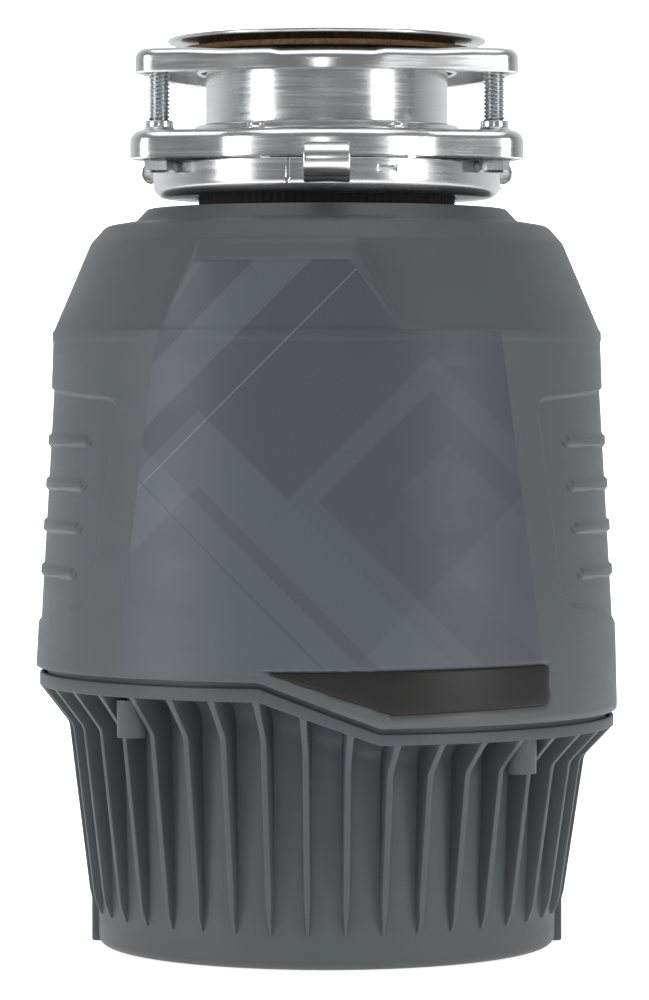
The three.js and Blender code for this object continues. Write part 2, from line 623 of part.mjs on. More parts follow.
function statorCore() {
  const slots = 8;
  const inner = around(rotorR + 0.6, 5 * slots);
  const deep = inner + (statorR - inner) * 0.56;
  const hole = [];
  for (let i = 0; i < slots; i += 1) {
    const at = (share, r) => {
      const [x, y] = dir((360 / slots) * (i + share));
      return [r * x, r * y];
    };
    hole.push(at(0, inner), at(0.2, inner), at(0.4, inner), at(0.45, inner + 3), at(0.3, inner + 8),
      at(0.3, deep), at(0.9, deep), at(0.9, inner + 8), at(0.75, inner + 3), at(0.8, inner));
  }
  return raised(circle(statorR, 0, 0, 32), stackZ, stackTop, [hole]);
}

const winding = (z0, z1) => turned([
  [coil.inner, z0], [coil.outer, z0], [coil.outer, z1 - 3], [coil.outer - 4, z1], [coil.inner + 4, z1],
  [coil.inner, z1 - 3],
], 24);

const bush = (z) => tube(around(shaftR + RUN - 0.2, 24), bearing.r, z, z + bearing.h, 24);
const shaftSeal = () =>
  tube(around(shaftR + 0.15, 24), shaftR + 6.85, bellZ + 2 + GAP, bellFloorTop + 6.5, 24);

function lowerEndFrame() {
  const passR = shaftR + 1.85;
  const pocket = around(bearing.r + GAP, 20);
  const top = frameZ + frameT;
  const made = turned([
    [passR, frameZ - 4], [hubR, frameZ - 4], [hubR, frameZ], [throughR + 4.2, frameZ], [throughR + 4.2, top],
    [statorR, top], [statorR, stackZ - GAP], [statorR - 4, stackZ - GAP], [statorR - 4, top], [hubR, top],
    [hubR, top + 8], [pocket, top + 8], [pocket, top - 2], [passR, top - 2],
  ], 20);
  const bolts = throughAzimuths.map((az) => moved(bar(throughBoltR + 0.5, frameZ - 1, frameZ + 9, 12),
    ...spot(az, throughR), 0));
  return cut(made, ...bolts);
}

const throughAzimuths = [20, 110, 200, 290];
const spot = (azimuth, r) => dir(azimuth).map((v) => v * r);

function throughBolt(azimuth) {
  const head = bar(4, frameZ - 3.5, frameZ - GAP, 6);
  return moved(join(head, bar(throughBoltR, frameZ - 1, bellZ + 2.4, 10)), ...spot(azimuth, throughR), 0);
}

// ---------------------------------------------------------------- electrical parts
const buttonAt = [base.r * 0.5366, -base.r * 0.3659];
const buttonR = 5;
const buttonTravel = 3;
const coverAt = [-base.r * 0.5854, 0];
const coverHalf = 20;
const coverT = 1.5;
const coverScrewAt = [coverAt[0], coverAt[1] + coverHalf - 3.2];

/** Outline of the wiring cover, grown by margin. */
function coverOutline(margin) {
  const half = coverHalf + margin;
  const [x, y] = coverAt;
  const c = 4;
  return [
    [x - half + c, y - half], [x + half - c, y - half], [x + half, y - half + c], [x + half, y + half - c],
    [x + half - c, y + half], [x - half + c, y + half], [x - half, y + half - c], [x - half, y - half + c],
  ];
}

function wiringCover() {
  const cable = moved(bar(11, -1, 5, 20), coverAt[0], coverAt[1] - 3, 0);
  const screwHole = moved(bar(2.4, -1, 5, 12), ...coverScrewAt, 0);
  return cut(raised(coverOutline(0), GAP, coverT + GAP), cable, screwHole);
}

const coverScrew = () => moved(turned([
  [0, 0.4], [1.9, 0.4], [1.9, 7], [1, 8], [0, 8],
], 10), ...coverScrewAt, 0);

const resetButton = () => moved(turned([
  [0, buttonTravel + 0.5], [buttonR - 0.8, buttonTravel + 0.5], [buttonR, buttonTravel + 1.2],
  [buttonR, 11], [0, 11],
], 16), ...buttonAt, 0);

const overloadProtector = () => moved(cut(bar(12, 8.5, 25, 16),
  bar(around(buttonR + RUN, 16), 7, 12, 16)), ...buttonAt, 0);

const capacitor = { r: 11.5, half: 24, y: base.r - 28 };
const runCapacitor = () => bar(capacitor.r, -capacitor.half, capacitor.half, 20)
  .rotate([0, 90, 0]).translate([0, capacitor.y, capacitor.r + 4]);

/** The relay: a block with a raised terminal cap, near the front of the base. */
function startRelay() {
  const y = base.r - 18;
  return join(block([-18, -y, 6], [14, 20 - y, 22]), block([-14, 4 - y, 21], [10, 16 - y, 25]));
}

// ---------------------------------------------------------------- assembly
add('sink_flange', sinkFlange(), STEEL);
add('fiber_gasket', tube(around(throat.r + 0.6, 36), fibre.r, gasketTop - fibre.t, gasketTop, 36), FIBRE);
add('backup_flange', backupFlange(), STEEL);
['front_left', 'front_right', 'rear'].forEach((place, i) =>
  add(`mounting_screw_${place}`, swing(mountingScrew(), boltAzimuths[i]), ZINC));
add('mounting_ring', mountingRing(), STEEL);
add('snap_ring', snapRing(), ZINC);
add('lower_mounting_ring', lowerMountingRing(), STEEL);
add('mounting_gasket', mountingGasket(), RUBBER);
add('splash_guard', splashGuard(), RUBBER);

add('upper_shell', upperShell(), GREY);
add('front_band', frontBand(), BLACK);
add('lower_shell', lowerShell(), DARK);
['front_left', 'front_right', 'rear_right', 'rear_left'].forEach((place, i) =>
  add(`shell_screw_${place}`, shellScrew(screwAzimuths[i]), ZINC));
add('sound_insulation', soundInsulation(), FOAM);

add('grind_container', grindContainer(), STEEL);
const gasketZ = bellTop + GAP;
add('container_gasket', tube(chamberR - 3, chamberR + rimOut, gasketZ, gasketZ + 1.4, 36), RUBBER);
add('clamp_band', clampBand(), ZINC);
add('grind_ring', grindRing(), CAST);
add('upper_end_bell', upperEndBell(), CAST);
add('dishwasher_inlet', dishwasherInlet(), BLACK);
add('inlet_plug', inletPlug(), BLACK);
add('turntable', turntableDisc(), STEEL);
add('impeller_left', impeller(-1), STEEL);
add('impeller_right', impeller(1), STEEL);
add('impeller_pin_left', impellerPin(-1), ZINC);
add('impeller_pin_right', impellerPin(1), ZINC);
add('turntable_nut', turntableNut(), ZINC);

add('motor_shaft', motorShaft(), STEEL);
add('rotor_core', rotorCore(), IRON);
add('stator_core', statorCore(), IRON);
add('upper_winding', winding(stackTop + GAP, stackTop + coilH), COPPER);
add('lower_winding', winding(stackZ - coilH, stackZ - GAP), COPPER);
add('upper_bearing', bush(bellZ - 1 - GAP - bearing.h), BRONZE);
add('lower_bearing', bush(frameZ + frameT - 2 + GAP), BRONZE);
add('shaft_seal', shaftSeal(), RUBBER);
add('lower_end_frame', lowerEndFrame(), CAST);
throughAzimuths.forEach((az, i) => add(`through_bolt_${i + 1}`, throughBolt(az), ZINC));
add('start_relay', startRelay(), BLACK);
add('run_capacitor', runCapacitor(), ZINC);
add('overload_protector', overloadProtector(), BLACK);
add('reset_button', resetButton(), RED);
add('wiring_cover', wiringCover(), ZINC);
add('wiring_cover_screw', coverScrew(), ZINC);

export default group;
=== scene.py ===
"""Looks of a kitchen garbage disposal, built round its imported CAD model.

Shapes are worked out in millimetres as numpy grids and turned into metres when a mesh is made.
Azimuth 0 is the front of the unit (-Y) and 90 is +X.
"""

from __future__ import annotations

import json
import logging
import math
from dataclasses import dataclass, field
from enum import Enum
from itertools import product

import bpy
import numpy as np
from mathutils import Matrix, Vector
from mathutils.geometry import tessellate_polygon

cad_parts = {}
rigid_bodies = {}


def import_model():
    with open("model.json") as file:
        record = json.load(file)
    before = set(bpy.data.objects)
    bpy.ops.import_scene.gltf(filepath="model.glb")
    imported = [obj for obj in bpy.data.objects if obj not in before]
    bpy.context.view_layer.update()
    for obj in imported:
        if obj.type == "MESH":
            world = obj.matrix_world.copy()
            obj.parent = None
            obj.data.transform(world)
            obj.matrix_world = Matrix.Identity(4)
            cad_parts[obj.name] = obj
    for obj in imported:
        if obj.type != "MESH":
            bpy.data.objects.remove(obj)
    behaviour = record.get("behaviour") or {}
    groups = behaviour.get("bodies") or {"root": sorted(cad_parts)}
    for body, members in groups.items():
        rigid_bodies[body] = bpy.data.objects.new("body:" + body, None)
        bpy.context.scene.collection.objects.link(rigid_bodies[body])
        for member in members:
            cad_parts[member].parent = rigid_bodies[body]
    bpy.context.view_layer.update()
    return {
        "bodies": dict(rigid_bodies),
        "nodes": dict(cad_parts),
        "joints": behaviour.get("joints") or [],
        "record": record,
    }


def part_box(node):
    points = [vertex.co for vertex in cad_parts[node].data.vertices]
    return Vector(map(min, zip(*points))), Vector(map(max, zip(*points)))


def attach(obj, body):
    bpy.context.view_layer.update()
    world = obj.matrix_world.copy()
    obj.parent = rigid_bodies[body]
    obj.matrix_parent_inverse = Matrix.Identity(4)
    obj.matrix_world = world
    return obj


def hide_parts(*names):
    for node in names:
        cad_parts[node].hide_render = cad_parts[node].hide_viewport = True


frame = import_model()

MM = 0.001
TINY = 1e-6
FAR = 1e9
AXIS = 0.02  # least radius of a profile that ends at its axis, in millimetres
STRAIGHT = 1.56  # half angles above this, in radians, leave a corner as it is
BLOCK_FACES = np.array([(0, 1, 3, 2), (4, 6, 7, 5), (0, 4, 5, 1), (2, 3, 7, 6), (0, 2, 6, 4), (1, 5, 7, 3)])
LOG = logging.getLogger("disposal")
Array = np.ndarray
Piece = bpy.types.Object
Socket = bpy.types.NodeSocket
Colour = tuple[float, float, float]
Point = tuple[float, float]


# ------------------------------------------------------------------ small sums
def box_mm(node: str) -> tuple[Array, Array]:
    """Box of a CAD node.

    Args:
        node: The node's name.

    Returns:
        Its lowest and highest corner in millimetres.
    """
    low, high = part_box(node)
    return np.array(low) / MM, np.array(high) / MM


def step(low: float, high: float, value: Array) -> Array:
    """Smooth rise from 0 at low to 1 at high: 3t^2 - 2t^3 of the clamped share t.

    Args:
        low: Where it starts; it may be the greater one, for a fall.
        high: Where it ends.
        value: The values.

    Returns:
        Array of the values' shape.
    """
    t = np.clip((value - low) / (high - low), 0.0, 1.0)
    return t * t * (3.0 - 2.0 * t)


def polygon_depth(x: Array, z: Array, corners: list[tuple[float, float]]) -> Array:
    """Signed distance into a polygon, positive inside.

    The distance is the least distance to any edge, and its sign is the parity of the edges
    that a ray along +x crosses.

    Args:
        x: First coordinates of the points.
        z: Second coordinates of the points.
        corners: The polygon's corners in order.

    Returns:
        Array of the points' shape.
    """
    best = np.full(np.shape(x), FAR)
    inside = np.zeros(np.shape(x), bool)
    for (x0, z0), (x1, z1) in zip(corners, corners[1:] + corners[:1]):
        ex, ez = x1 - x0, z1 - z0
        t = np.clip(((x - x0) * ex + (z - z0) * ez) / (ex * ex + ez * ez), 0.0, 1.0)
        best = np.minimum(best, np.hypot(x - x0 - t * ex, z - z0 - t * ez))
        if z0 != z1:
            crosses = (z0 > z) != (z1 > z)
            inside ^= crosses & (x < ex * (z - z0) / ez + x0)
    return np.where(inside, best, -best)


def rounded_meet(radius: float, *depths: Array) -> Array:
    """Depth inside several half planes at once, with their shared corners rounded.

    Where some depths are less than the radius, it is the radius less the length of the
    vector of what each lacks; elsewhere it is the least depth.

    Args:
        radius: Radius of the rounded corners.
        depths: Depth inside each half plane.

    Returns:
        Array of the depths' shape.
    """
    lack = [np.maximum(radius - d, 0.0) for d in depths]
    length = np.sqrt(sum(v * v for v in lack))
    return np.where(length > 0, radius - length, np.minimum.reduce(depths))


def filleted(corners: list[tuple[float, float, float]], steps: int = 5, closed: bool = True) -> Array:
    """Points of a polyline whose corners are arcs.

    Each corner is (radius from the axis, height, fillet radius). An arc touches both edges
    at fillet * tan(half the turn) from the corner.

    Args:
        corners: The corners in order.
        steps: Points on each arc.
        closed: Whether the last corner joins the first.

    Returns:
        Array of [radius, height] rows.
    """
    points = np.array([c[:2] for c in corners], float)
    made: list[Array] = []
    last = len(corners) - 1
    for i, (_, _, fillet) in enumerate(corners):
        here = points[i]
        if fillet <= 0 or (not closed and i in (0, last)):
            made.append(here[None])
            continue
        back = points[i - 1] - here
        ahead = points[(i + 1) % len(points)] - here
        lb, la = np.hypot(*back), np.hypot(*ahead)
        back, ahead = back / lb, ahead / la
        half = math.acos(float(np.clip(back @ ahead, -1, 1))) / 2
        if half > STRAIGHT:
            made.append(here[None])
            continue
        reach = min(fillet / math.tan(half), 0.48 * lb, 0.48 * la)
        size = reach * math.tan(half)
        middle = here + (back + ahead) / np.hypot(*(back + ahead)) * size / math.sin(half)
        a, b = here + back * reach - middle, here + ahead * reach - middle
        turn = math.atan2(a[0] * b[1] - a[1] * b[0], a @ b)
        w = np.linspace(0, turn, steps)[:, None]
        made.append(middle + a * np.cos(w) + np.array([-a[1], a[0]]) * np.sin(w))
    return np.concatenate(made)


def spun(profile: Array, azimuths: Array) -> Array:
    """Grid of a profile turned about Z: (r sin a, -r cos a, z).

    Args:
        profile: [radius, height] rows.
        azimuths: Angles in radians.

    Returns:
        Array of rows x azimuths x 3.
    """
    r, z = profile[:, :1], profile[:, 1:2]
    a = azimuths[None, :]
    return np.stack([r * np.sin(a), -r * np.cos(a), z + 0.0 * a], axis=-1)


def full_turn(count: int) -> Array:
    """Azimuths of a whole turn, in radians, without the repeated last one.

    Args:
        count: How many.

    Returns:
        Array of azimuths.
    """
    return np.arange(count) * (2.0 * math.pi / count)


def along_y(points: Array, height: float, x: float = 0.0) -> Array:
    """Lays a grid made about +Z along +Y.

    Args:
        points: Points of any grid.
        height: Height of the new axis.
        x: First coordinate of the new axis.

    Returns:
        Array of the same shape.
    """
    return np.stack([points[..., 0] + x, points[..., 2], height - points[..., 1]], axis=-1)


def swung(points: Array, degrees: float) -> Array:
    """Turns points about Z: a rotation by the azimuth, front towards +X.

    Args:
        points: Points of any grid.
        degrees: The azimuth.

    Returns:
        Array of the same shape.
    """
    a = math.radians(degrees)
    c, s = math.cos(a), math.sin(a)
    x, y = points[..., 0], points[..., 1]
    return np.stack([c * x - s * y, s * x + c * y, points[..., 2]], axis=-1)


# ------------------------------------------------------------------ meshes
def signed_volume(points: Array, triangles: Array) -> float:
    """Six times the volume inside the triangles: the sum of a . (b x c).

    Args:
        points: [x, y, z] rows.
        triangles: Point indices, three in a row.

    Returns:
        The volume times six, negative if the triangles face inwards.
    """
    a, b, c = (points[triangles[:, i]] for i in range(3))
    return float(np.einsum("ij,ij->", a, np.cross(b, c)))


def new_object(name: str, points: Array, faces: list[Array], sharp: float,
               fields: dict[str, Array] | None = None) -> Piece:
    """Makes a mesh object from points in millimetres and blocks of equal-sided faces.

    Args:
        name: The piece's name.
        points: Array of [x, y, z] rows.
        faces: Blocks of point indices, one row for each face.
        sharp: Edges that turn by more than this many degrees stay sharp.
        fields: Point attributes by name.

    Returns:
        The new object, whose faces point outwards.
    """
    triangles = np.concatenate(
        [block[:, [0, i, i + 1]] for block in faces for i in range(1, block.shape[1] - 1)])
    if signed_volume(points, triangles) < 0:
        faces = [block[:, ::-1] for block in faces]
    loops = np.concatenate([block.ravel() for block in faces]).astype(np.int32)
    sizes = np.concatenate([np.full(len(block), block.shape[1]) for block in faces])
    starts = np.concatenate([[0], np.cumsum(sizes)[:-1]]).astype(np.int32)
    mesh = bpy.data.meshes.new(name)
    mesh.vertices.add(len(points))
    mesh.vertices.foreach_set("co", (points * MM).astype(np.float32).ravel())
    mesh.loops.add(len(loops))
    mesh.loops.foreach_set("vertex_index", loops)
    mesh.polygons.add(len(starts))
    mesh.polygons.foreach_set("loop_start", starts)
    for key, values in (fields or {}).items():
        attribute = mesh.attributes.new(key, "FLOAT", "POINT")
        attribute.data.foreach_set("value", values.astype(np.float32))
    mesh.update(calc_edges=True)
    mesh.validate()
    made = bpy.data.objects.new(name, mesh)
    bpy.context.scene.collection.objects.link(made)
    return smoothed(made, sharp)


def grid_object(name: str, grid: Array, rows_close: bool = True, columns_close: bool = True,
                sharp: float = 38.0, fields: dict[str, Array] | None = None) -> Piece:
    """Makes a closed mesh from a grid of points; an open end is shut by a fan to its middle.

    Args:
        name: The piece's name.
        grid: Array of rows x columns x 3, in millimetres.
        rows_close: Whether the last row joins the first.
        columns_close: Whether the last column joins the first.
        sharp: Edges that turn by more than this many degrees stay sharp.
        fields: Attributes, each an array of rows x columns.

    Returns:
        The new object.
    """
    rows, columns = grid.shape[:2]
    index = np.arange(rows * columns).reshape(rows, columns)
    low = index if rows_close else index[:-1]
    high = np.roll(index, -1, axis=0) if rows_close else index[1:]
    if columns_close:
        quads = np.stack([low, np.roll(low, -1, 1), np.roll(high, -1, 1), high], -1)
    else:
        quads = np.stack([low[:, :-1], low[:, 1:], high[:, 1:], high[:, :-1]], -1)
    points = grid.reshape(-1, 3)
    faces = [quads.reshape(-1, 4)]
    ends: list[Array] = []
    if not rows_close:
        ends += [index[0][::-1], index[-1]]
    if not columns_close:
        ends += [index[:, 0], index[:, -1][::-1]]
    closed = rows_close or columns_close
    for ring in ends:
        middle = len(points)
        points = np.concatenate([points, points[ring].mean(axis=0)[None]])
        around, ahead = (ring, np.roll(ring, -1)) if closed else (ring[:-1], ring[1:])
        faces.append(np.stack([around, ahead, np.full(len(around), middle)], -1))
    extra = len(points) - rows * columns
    values = {k: np.concatenate([v.ravel(), np.zeros(extra)]) for k, v in (fields or {}).items()}
    return new_object(name, points, faces, sharp, values)


def plate_object(name: str, loops: list[Array], low: float, high: float, sharp: float = 30.0) -> Piece:
    """Makes a flat plate between two heights from an outline and its holes.

    Args:
        name: The piece's name.
        loops: The outline and then each hole, arrays of [x, y] rows.
        low: Height of the lower face.
        high: Height of the upper face.
        sharp: Edges that turn by more than this many degrees stay sharp.

    Returns:
        The new object.
    """
    flat = np.concatenate(loops)
    count = len(flat)
    cap = np.array(tessellate_polygon([[(p[0], p[1], 0.0) for p in loop] for loop in loops]))
    a, b, c = (flat[cap[:, i]] for i in range(3))
    turn = (b[:, 0] - a[:, 0]) * (c[:, 1] - a[:, 1]) - (b[:, 1] - a[:, 1]) * (c[:, 0] - a[:, 0])
    cap = np.where(turn[:, None] > 0, cap, cap[:, ::-1])
    points = np.concatenate([np.column_stack([flat, np.full(count, z)]) for z in (low, high)])
    sides = []
    start = 0
    for i, loop in enumerate(loops):
        ring = np.arange(start, start + len(loop))
        area = np.sum(loop[:, 0] * np.roll(loop[:, 1], -1) - loop[:, 1] * np.roll(loop[:, 0], -1))
        if (area > 0) != (i == 0):
            ring = ring[::-1]
        ahead = np.roll(ring, -1)
        sides.append(np.stack([ring, ahead, ahead + count, ring + count], -1))
        start += len(loop)
    return new_object(name, points, [cap[:, ::-1], cap + count, np.concatenate(sides)], sharp)


def ring_of(radius: float, count: int, x: float = 0.0, y: float = 0.0) -> Array:
    """Points of a circle.

    Args:
        radius: The circle's radius.
        count: How many points.
        x: First coordinate of its middle.
        y: Second coordinate of its middle.

    Returns:
        Array of [x, y] rows.
    """
    a = full_turn(count)
    return np.column_stack([x + radius * np.cos(a), y + radius * np.sin(a)])


def block_corners(low: tuple[float, ...], high: tuple[float, ...]) -> Array:
    """Corners of a block, in the order that BLOCK_FACES counts them.

    Args:
        low: Its lowest corner.
        high: Its highest corner.

    Returns:
        Array of eight [x, y, z] rows.
    """
    return np.array(list(product(*zip(low, high))), float)


def settled(made: Piece) -> Piece:
    """Applies a piece's modifiers and leaves it with its plain mesh.

    Args:
        made: The piece.

    Returns:
        The same piece.
    """
    graph = bpy.context.evaluated_depsgraph_get()
    mesh = bpy.data.meshes.new_from_object(made.evaluated_get(graph), depsgraph=graph)
    made.modifiers.clear()
    old = made.data
    made.data = mesh
    bpy.data.meshes.remove(old)
    return made


def smoothed(made: Piece, sharp: float) -> Piece:
    """Shades a piece smooth.

    Args:
        made: The piece.
        sharp: Edges that turn by more than this many degrees stay sharp.

    Returns:
        The same piece.
    """
    made.data.shade_smooth()
    made.data.set_sharp_from_angle(angle=math.radians(sharp))
    return made


def bevelled(made: Piece, width: float) -> Piece:
    """Rounds a piece's edges with bevels of three segments.

    Args:
        made: The piece.
        width: The bevels' width in millimetres.

    Returns:
        The same piece.
    """
    bevel = made.modifiers.new("edge", "BEVEL")
    bevel.width, bevel.segments, bevel.limit_method = width * MM, 3, "ANGLE"
    return settled(made)


def drilled(made: Piece, *tools: Piece) -> Piece:
    """Takes the tools' solids out of a piece and removes the tools.

    Args:
        made: The piece.
        tools: Closed solids.

    Returns:
        The same piece.
    """
    for tool in tools:
        cut = made.modifiers.new("cut", "BOOLEAN")
        cut.operation, cut.solver, cut.object = "DIFFERENCE", "EXACT", tool
        settled(made)
        bpy.data.objects.remove(tool)
    return smoothed(made, 35)


# ------------------------------------------------------------------ finishes
def shaded(colour: Colour, share: float) -> tuple[float, float, float, float]:
    """A colour made lighter or darker.

    Args:
        colour: Red, green and blue.
        share: What each is multiplied by; the results stop at 1.

    Returns:
        The new colour with full alpha.
    """
    return (*[min(1.0, c * share) for c in colour], 1.0)


class Graph:
    """One material's nodes, with short ways to add and join them.

    Wherever a method takes a value, it takes another node's socket or a plain number or colour.
    """

    def __init__(self, name: str) -> None:
        """Starts a material whose one surface is a Principled shader.

        Args:
            name: The material's name.
        """
        self.material = bpy.data.materials.new(name)
        self.material.use_nodes = True
        self.tree = self.material.node_tree
        self.tree.nodes.clear()
        self.shader = self.tree.nodes.new("ShaderNodeBsdfPrincipled")
        output = self.tree.nodes.new("ShaderNodeOutputMaterial")
        self.tree.links.new(self.shader.outputs[0], output.inputs[0])
        self.place = self.tree.nodes.new("ShaderNodeTexCoord").outputs["Object"]

    def put(self, socket: Socket, value: object) -> None:
        """Joins a socket to another one, or sets its value.

        Args:
            socket: The input to fill.
            value: What goes in; None leaves the input as it is.
        """
        if isinstance(value, Socket):
            self.tree.links.new(value, socket)
        elif value is not None:
            socket.default_value = value

    def node(self, kind: str, values: dict[str | int, object], **settings: object) -> bpy.types.Node:
        """Adds a node and fills its inputs.

        Args:
            kind: The node's type, without its prefix.
            values: What goes into each input, by name or number.
            settings: The node's own properties.

        Returns:
            The new node.
        """
        made = self.tree.nodes.new(f"ShaderNode{kind}")
        for key, value in settings.items():
            setattr(made, key, value)
        for key, value in values.items():
            self.put(made.inputs[key], value)
        return made

    def stretched(self, scale: Colour, turn: Colour = (0, 0, 0)) -> Socket:
        """Object coordinates that are scaled along each axis and turned, in degrees.

        Args:
            scale: The scale along each axis.
            turn: The turn about each axis, in degrees.

        Returns:
            The new coordinates.
        """
        angles = [math.radians(v) for v in turn]
        return self.node("Mapping", {"Vector": self.place, "Scale": scale, "Rotation": angles}).outputs[0]

    def noise(self, scale: float, detail: float = 3.0, rough: float = 0.5,
              place: Socket | None = None) -> Socket:
        """A noise value at a place, or at the object coordinates.

        Args:
            scale: How fine the noise is.
            detail: Its octaves.
            rough: How much the fine octaves count.
            place: Other coordinates.

        Returns:
            The value.
        """
        return self.node("TexNoise", {"Vector": place or self.place, "Scale": scale, "Detail": detail,
                                      "Roughness": rough}).outputs["Fac"]

    def cells(self, scale: float) -> Socket:
        """Distance from the nearest point of a Voronoi pattern.

        Args:
            scale: How fine the pattern is.

        Returns:
            The distance.
        """
        return self.node("TexVoronoi", {"Vector": self.place, "Scale": scale}, feature="F1").outputs["Distance"]

    def waves(self, scale: float, direction: str, distortion: float) -> Socket:
        """Parallel bands across one axis, given by its letter.

        Args:
            scale: How fine the bands are.
            direction: The axis's letter.
            distortion: How much they waver.

        Returns:
            The value.
        """
        return self.node("TexWave", {"Vector": self.place, "Scale": scale, "Distortion": distortion},
                         bands_direction=direction).outputs["Fac"]

    def sum(self, kind: str, *values: object) -> Socket:
        """The result of a Math node of some kind on up to three values.

        Args:
            kind: The node's operation.
            values: What it works on.

        Returns:
            The result.
        """
        return self.node("Math", dict(enumerate(values)), operation=kind).outputs[0]

    def span(self, value: object, low: float, high: float, to_low: float, to_high: float) -> Socket:
        """A value mapped from the range low to high onto to_low to to_high, and clamped there.

        Args:
            value: The value.
            low: Start of its range.
            high: End of its range.
            to_low: What the start becomes.
            to_high: What the end becomes.

        Returns:
            The new value.
        """
        return self.node("MapRange", {"Value": value, "From Min": low, "From Max": high, "To Min": to_low,
                                      "To Max": to_high}).outputs[0]

    def blend(self, share: object, first: object, second: object) -> Socket:
        """A share of the way from a first colour to a second one.

        Args:
            share: How far.
            first: The colour at 0.
            second: The colour at 1.

        Returns:
            The mixed colour.
        """
        mix_factor, colour_a, colour_b, result = 0, 6, 7, 2
        return self.node("Mix", {mix_factor: share, colour_a: first, colour_b: second},
                         data_type="RGBA").outputs[result]

    def mottled(self, value: Socket, low: float, high: float, colour: Colour, dark: float,
                pale: float) -> Socket:
        """A colour that goes from a dark share of itself to a pale one as a value rises.

        Args:
            value: The value.
            low: Where it is darkest.
            high: Where it is palest.
            colour: The colour.
            dark: The dark share.
            pale: The pale share.

        Returns:
            The mixed colour.
        """
        return self.blend(self.span(value, low, high, 0.0, 1.0), shaded(colour, dark), shaded(colour, pale))

    def tone(self, value: Socket, stops: list[tuple[float, tuple[float, ...]]]) -> Socket:
        """A colour ramp through stops of (position, colour with alpha).

        Args:
            value: The value.
            stops: Two stops.

        Returns:
            The colour.
        """
        node = self.node("ValToRGB", {"Fac": value})
        for element, (at, colour) in zip(node.color_ramp.elements, stops):
            element.position = at
            element.color = colour
        return node.outputs["Color"]

    def field(self, name: str) -> Socket:
        """The value of a point attribute, given by its name.

        Args:
            name: The attribute's name.

        Returns:
            The value.
        """
        return self.node("Attribute", {}, attribute_name=name).outputs["Fac"]

    def axis(self, which: str) -> Socket:
        """One of the object coordinates, X, Y or Z.

        Args:
            which: The axis's letter.

        Returns:
            The value.
        """
        return self.node("SeparateXYZ", {0: self.place}).outputs[which]

    def relief(self, height: Socket, depth: float, below: Socket | None = None) -> Socket:
        """A bump from a height of 0 to 1 that stands for a depth in metres, over another bump.

        Args:
            height: The height.
            depth: What a height of 1 stands for.
            below: The other bump.

        Returns:
            The normal.
        """
        return self.node("Bump", {"Strength": 1.0, "Distance": depth, "Height": height,
                                  "Normal": below}).outputs[0]

    def finish(self, colour: object, rough: object, normal: Socket | None, metal: float,
               **sockets: float) -> bpy.types.Material:
        """Joins the last values to the shader.

        Args:
            colour: The base colour.
            rough: The roughness.
            normal: The last bump, or None.
            metal: How metallic the surface is.
            sockets: Values of other inputs, with _ for each space in their names.

        Returns:
            The finished material.
        """
        named = {"Base Color": colour, "Roughness": rough, "Normal": normal, "Metallic": metal}
        for key, value in {**named, **sockets}.items():
            self.put(self.shader.inputs[key.replace("_", " ")], value)
        return self.material


@dataclass(frozen=True)
class Metal:
    """Bare metal with a grain, faint blotches and fine scratches.

    The grain is the stretch of its brush marks along each axis, the depth is theirs in metres,
    the spread is how far the roughness strays from its mean as a share of it, and crystals
    says whether the pattern of zinc shows.
    """

    name: str
    colour: Colour
    rough: float
    grain: Colour = (60.0, 60.0, 2600.0)
    depth: float = 2.0e-6
    crystals: bool = False
    spread: float = 0.35

    def material(self) -> bpy.types.Material:
        """Builds the node material.

        Returns:
            The material.
        """
        g = Graph(self.name)
        marks = g.noise(1.0, 4.0, 0.6, g.stretched(self.grain))
        blotch = g.noise(26.0, 3.0, 0.55)
        scratch = g.noise(1.0, 2.0, 0.8, g.stretched((900.0, 90.0, 1400.0), (12, 24, 31)))
        light = g.mottled(blotch, 0.3, 0.7, self.colour, 0.9, 1.06)
        if self.crystals:
            light = g.blend(g.span(g.cells(330.0), 0.1, 0.9, 0.0, 0.5), light, shaded(self.colour, 0.72))
        low, high = self.rough * (1 - self.spread), self.rough * (1 + self.spread)
        mixed = g.sum("ADD", g.sum("MULTIPLY", marks, 0.6), g.sum("MULTIPLY", blotch, 0.4))
        bump = g.relief(g.span(scratch, 0.62, 0.7, 0.0, 1.0), self.depth * 2.0, g.relief(marks, self.depth))
        return g.finish(light, g.span(mixed, 0.35, 0.65, low, high), bump, 1.0)


@dataclass(frozen=True)
class CastMetal:
    """Sand-cast metal: a pebbled skin with darker hollows."""

    name: str
    colour: Colour
    rough: float = 0.62
    metal: float = 0.85

    def material(self) -> bpy.types.Material:
        """Builds the node material.

        Returns:
            The material.
        """
        g = Graph(self.name)
        grain = g.noise(900.0, 5.0, 0.65)
        hollow = g.span(g.cells(620.0), 0.0, 0.35, 0.0, 1.0)
        tone = g.mottled(g.noise(40.0, 3.0), 0.3, 0.7, self.colour, 0.82, 1.1)
        tone = g.blend(hollow, shaded(self.colour, 0.5), tone)
        bump = g.relief(hollow, 5.0e-5, g.relief(grain, 9.0e-5))
        return g.finish(tone, g.span(grain, 0.3, 0.7, self.rough - 0.1, self.rough + 0.14), bump, self.metal)


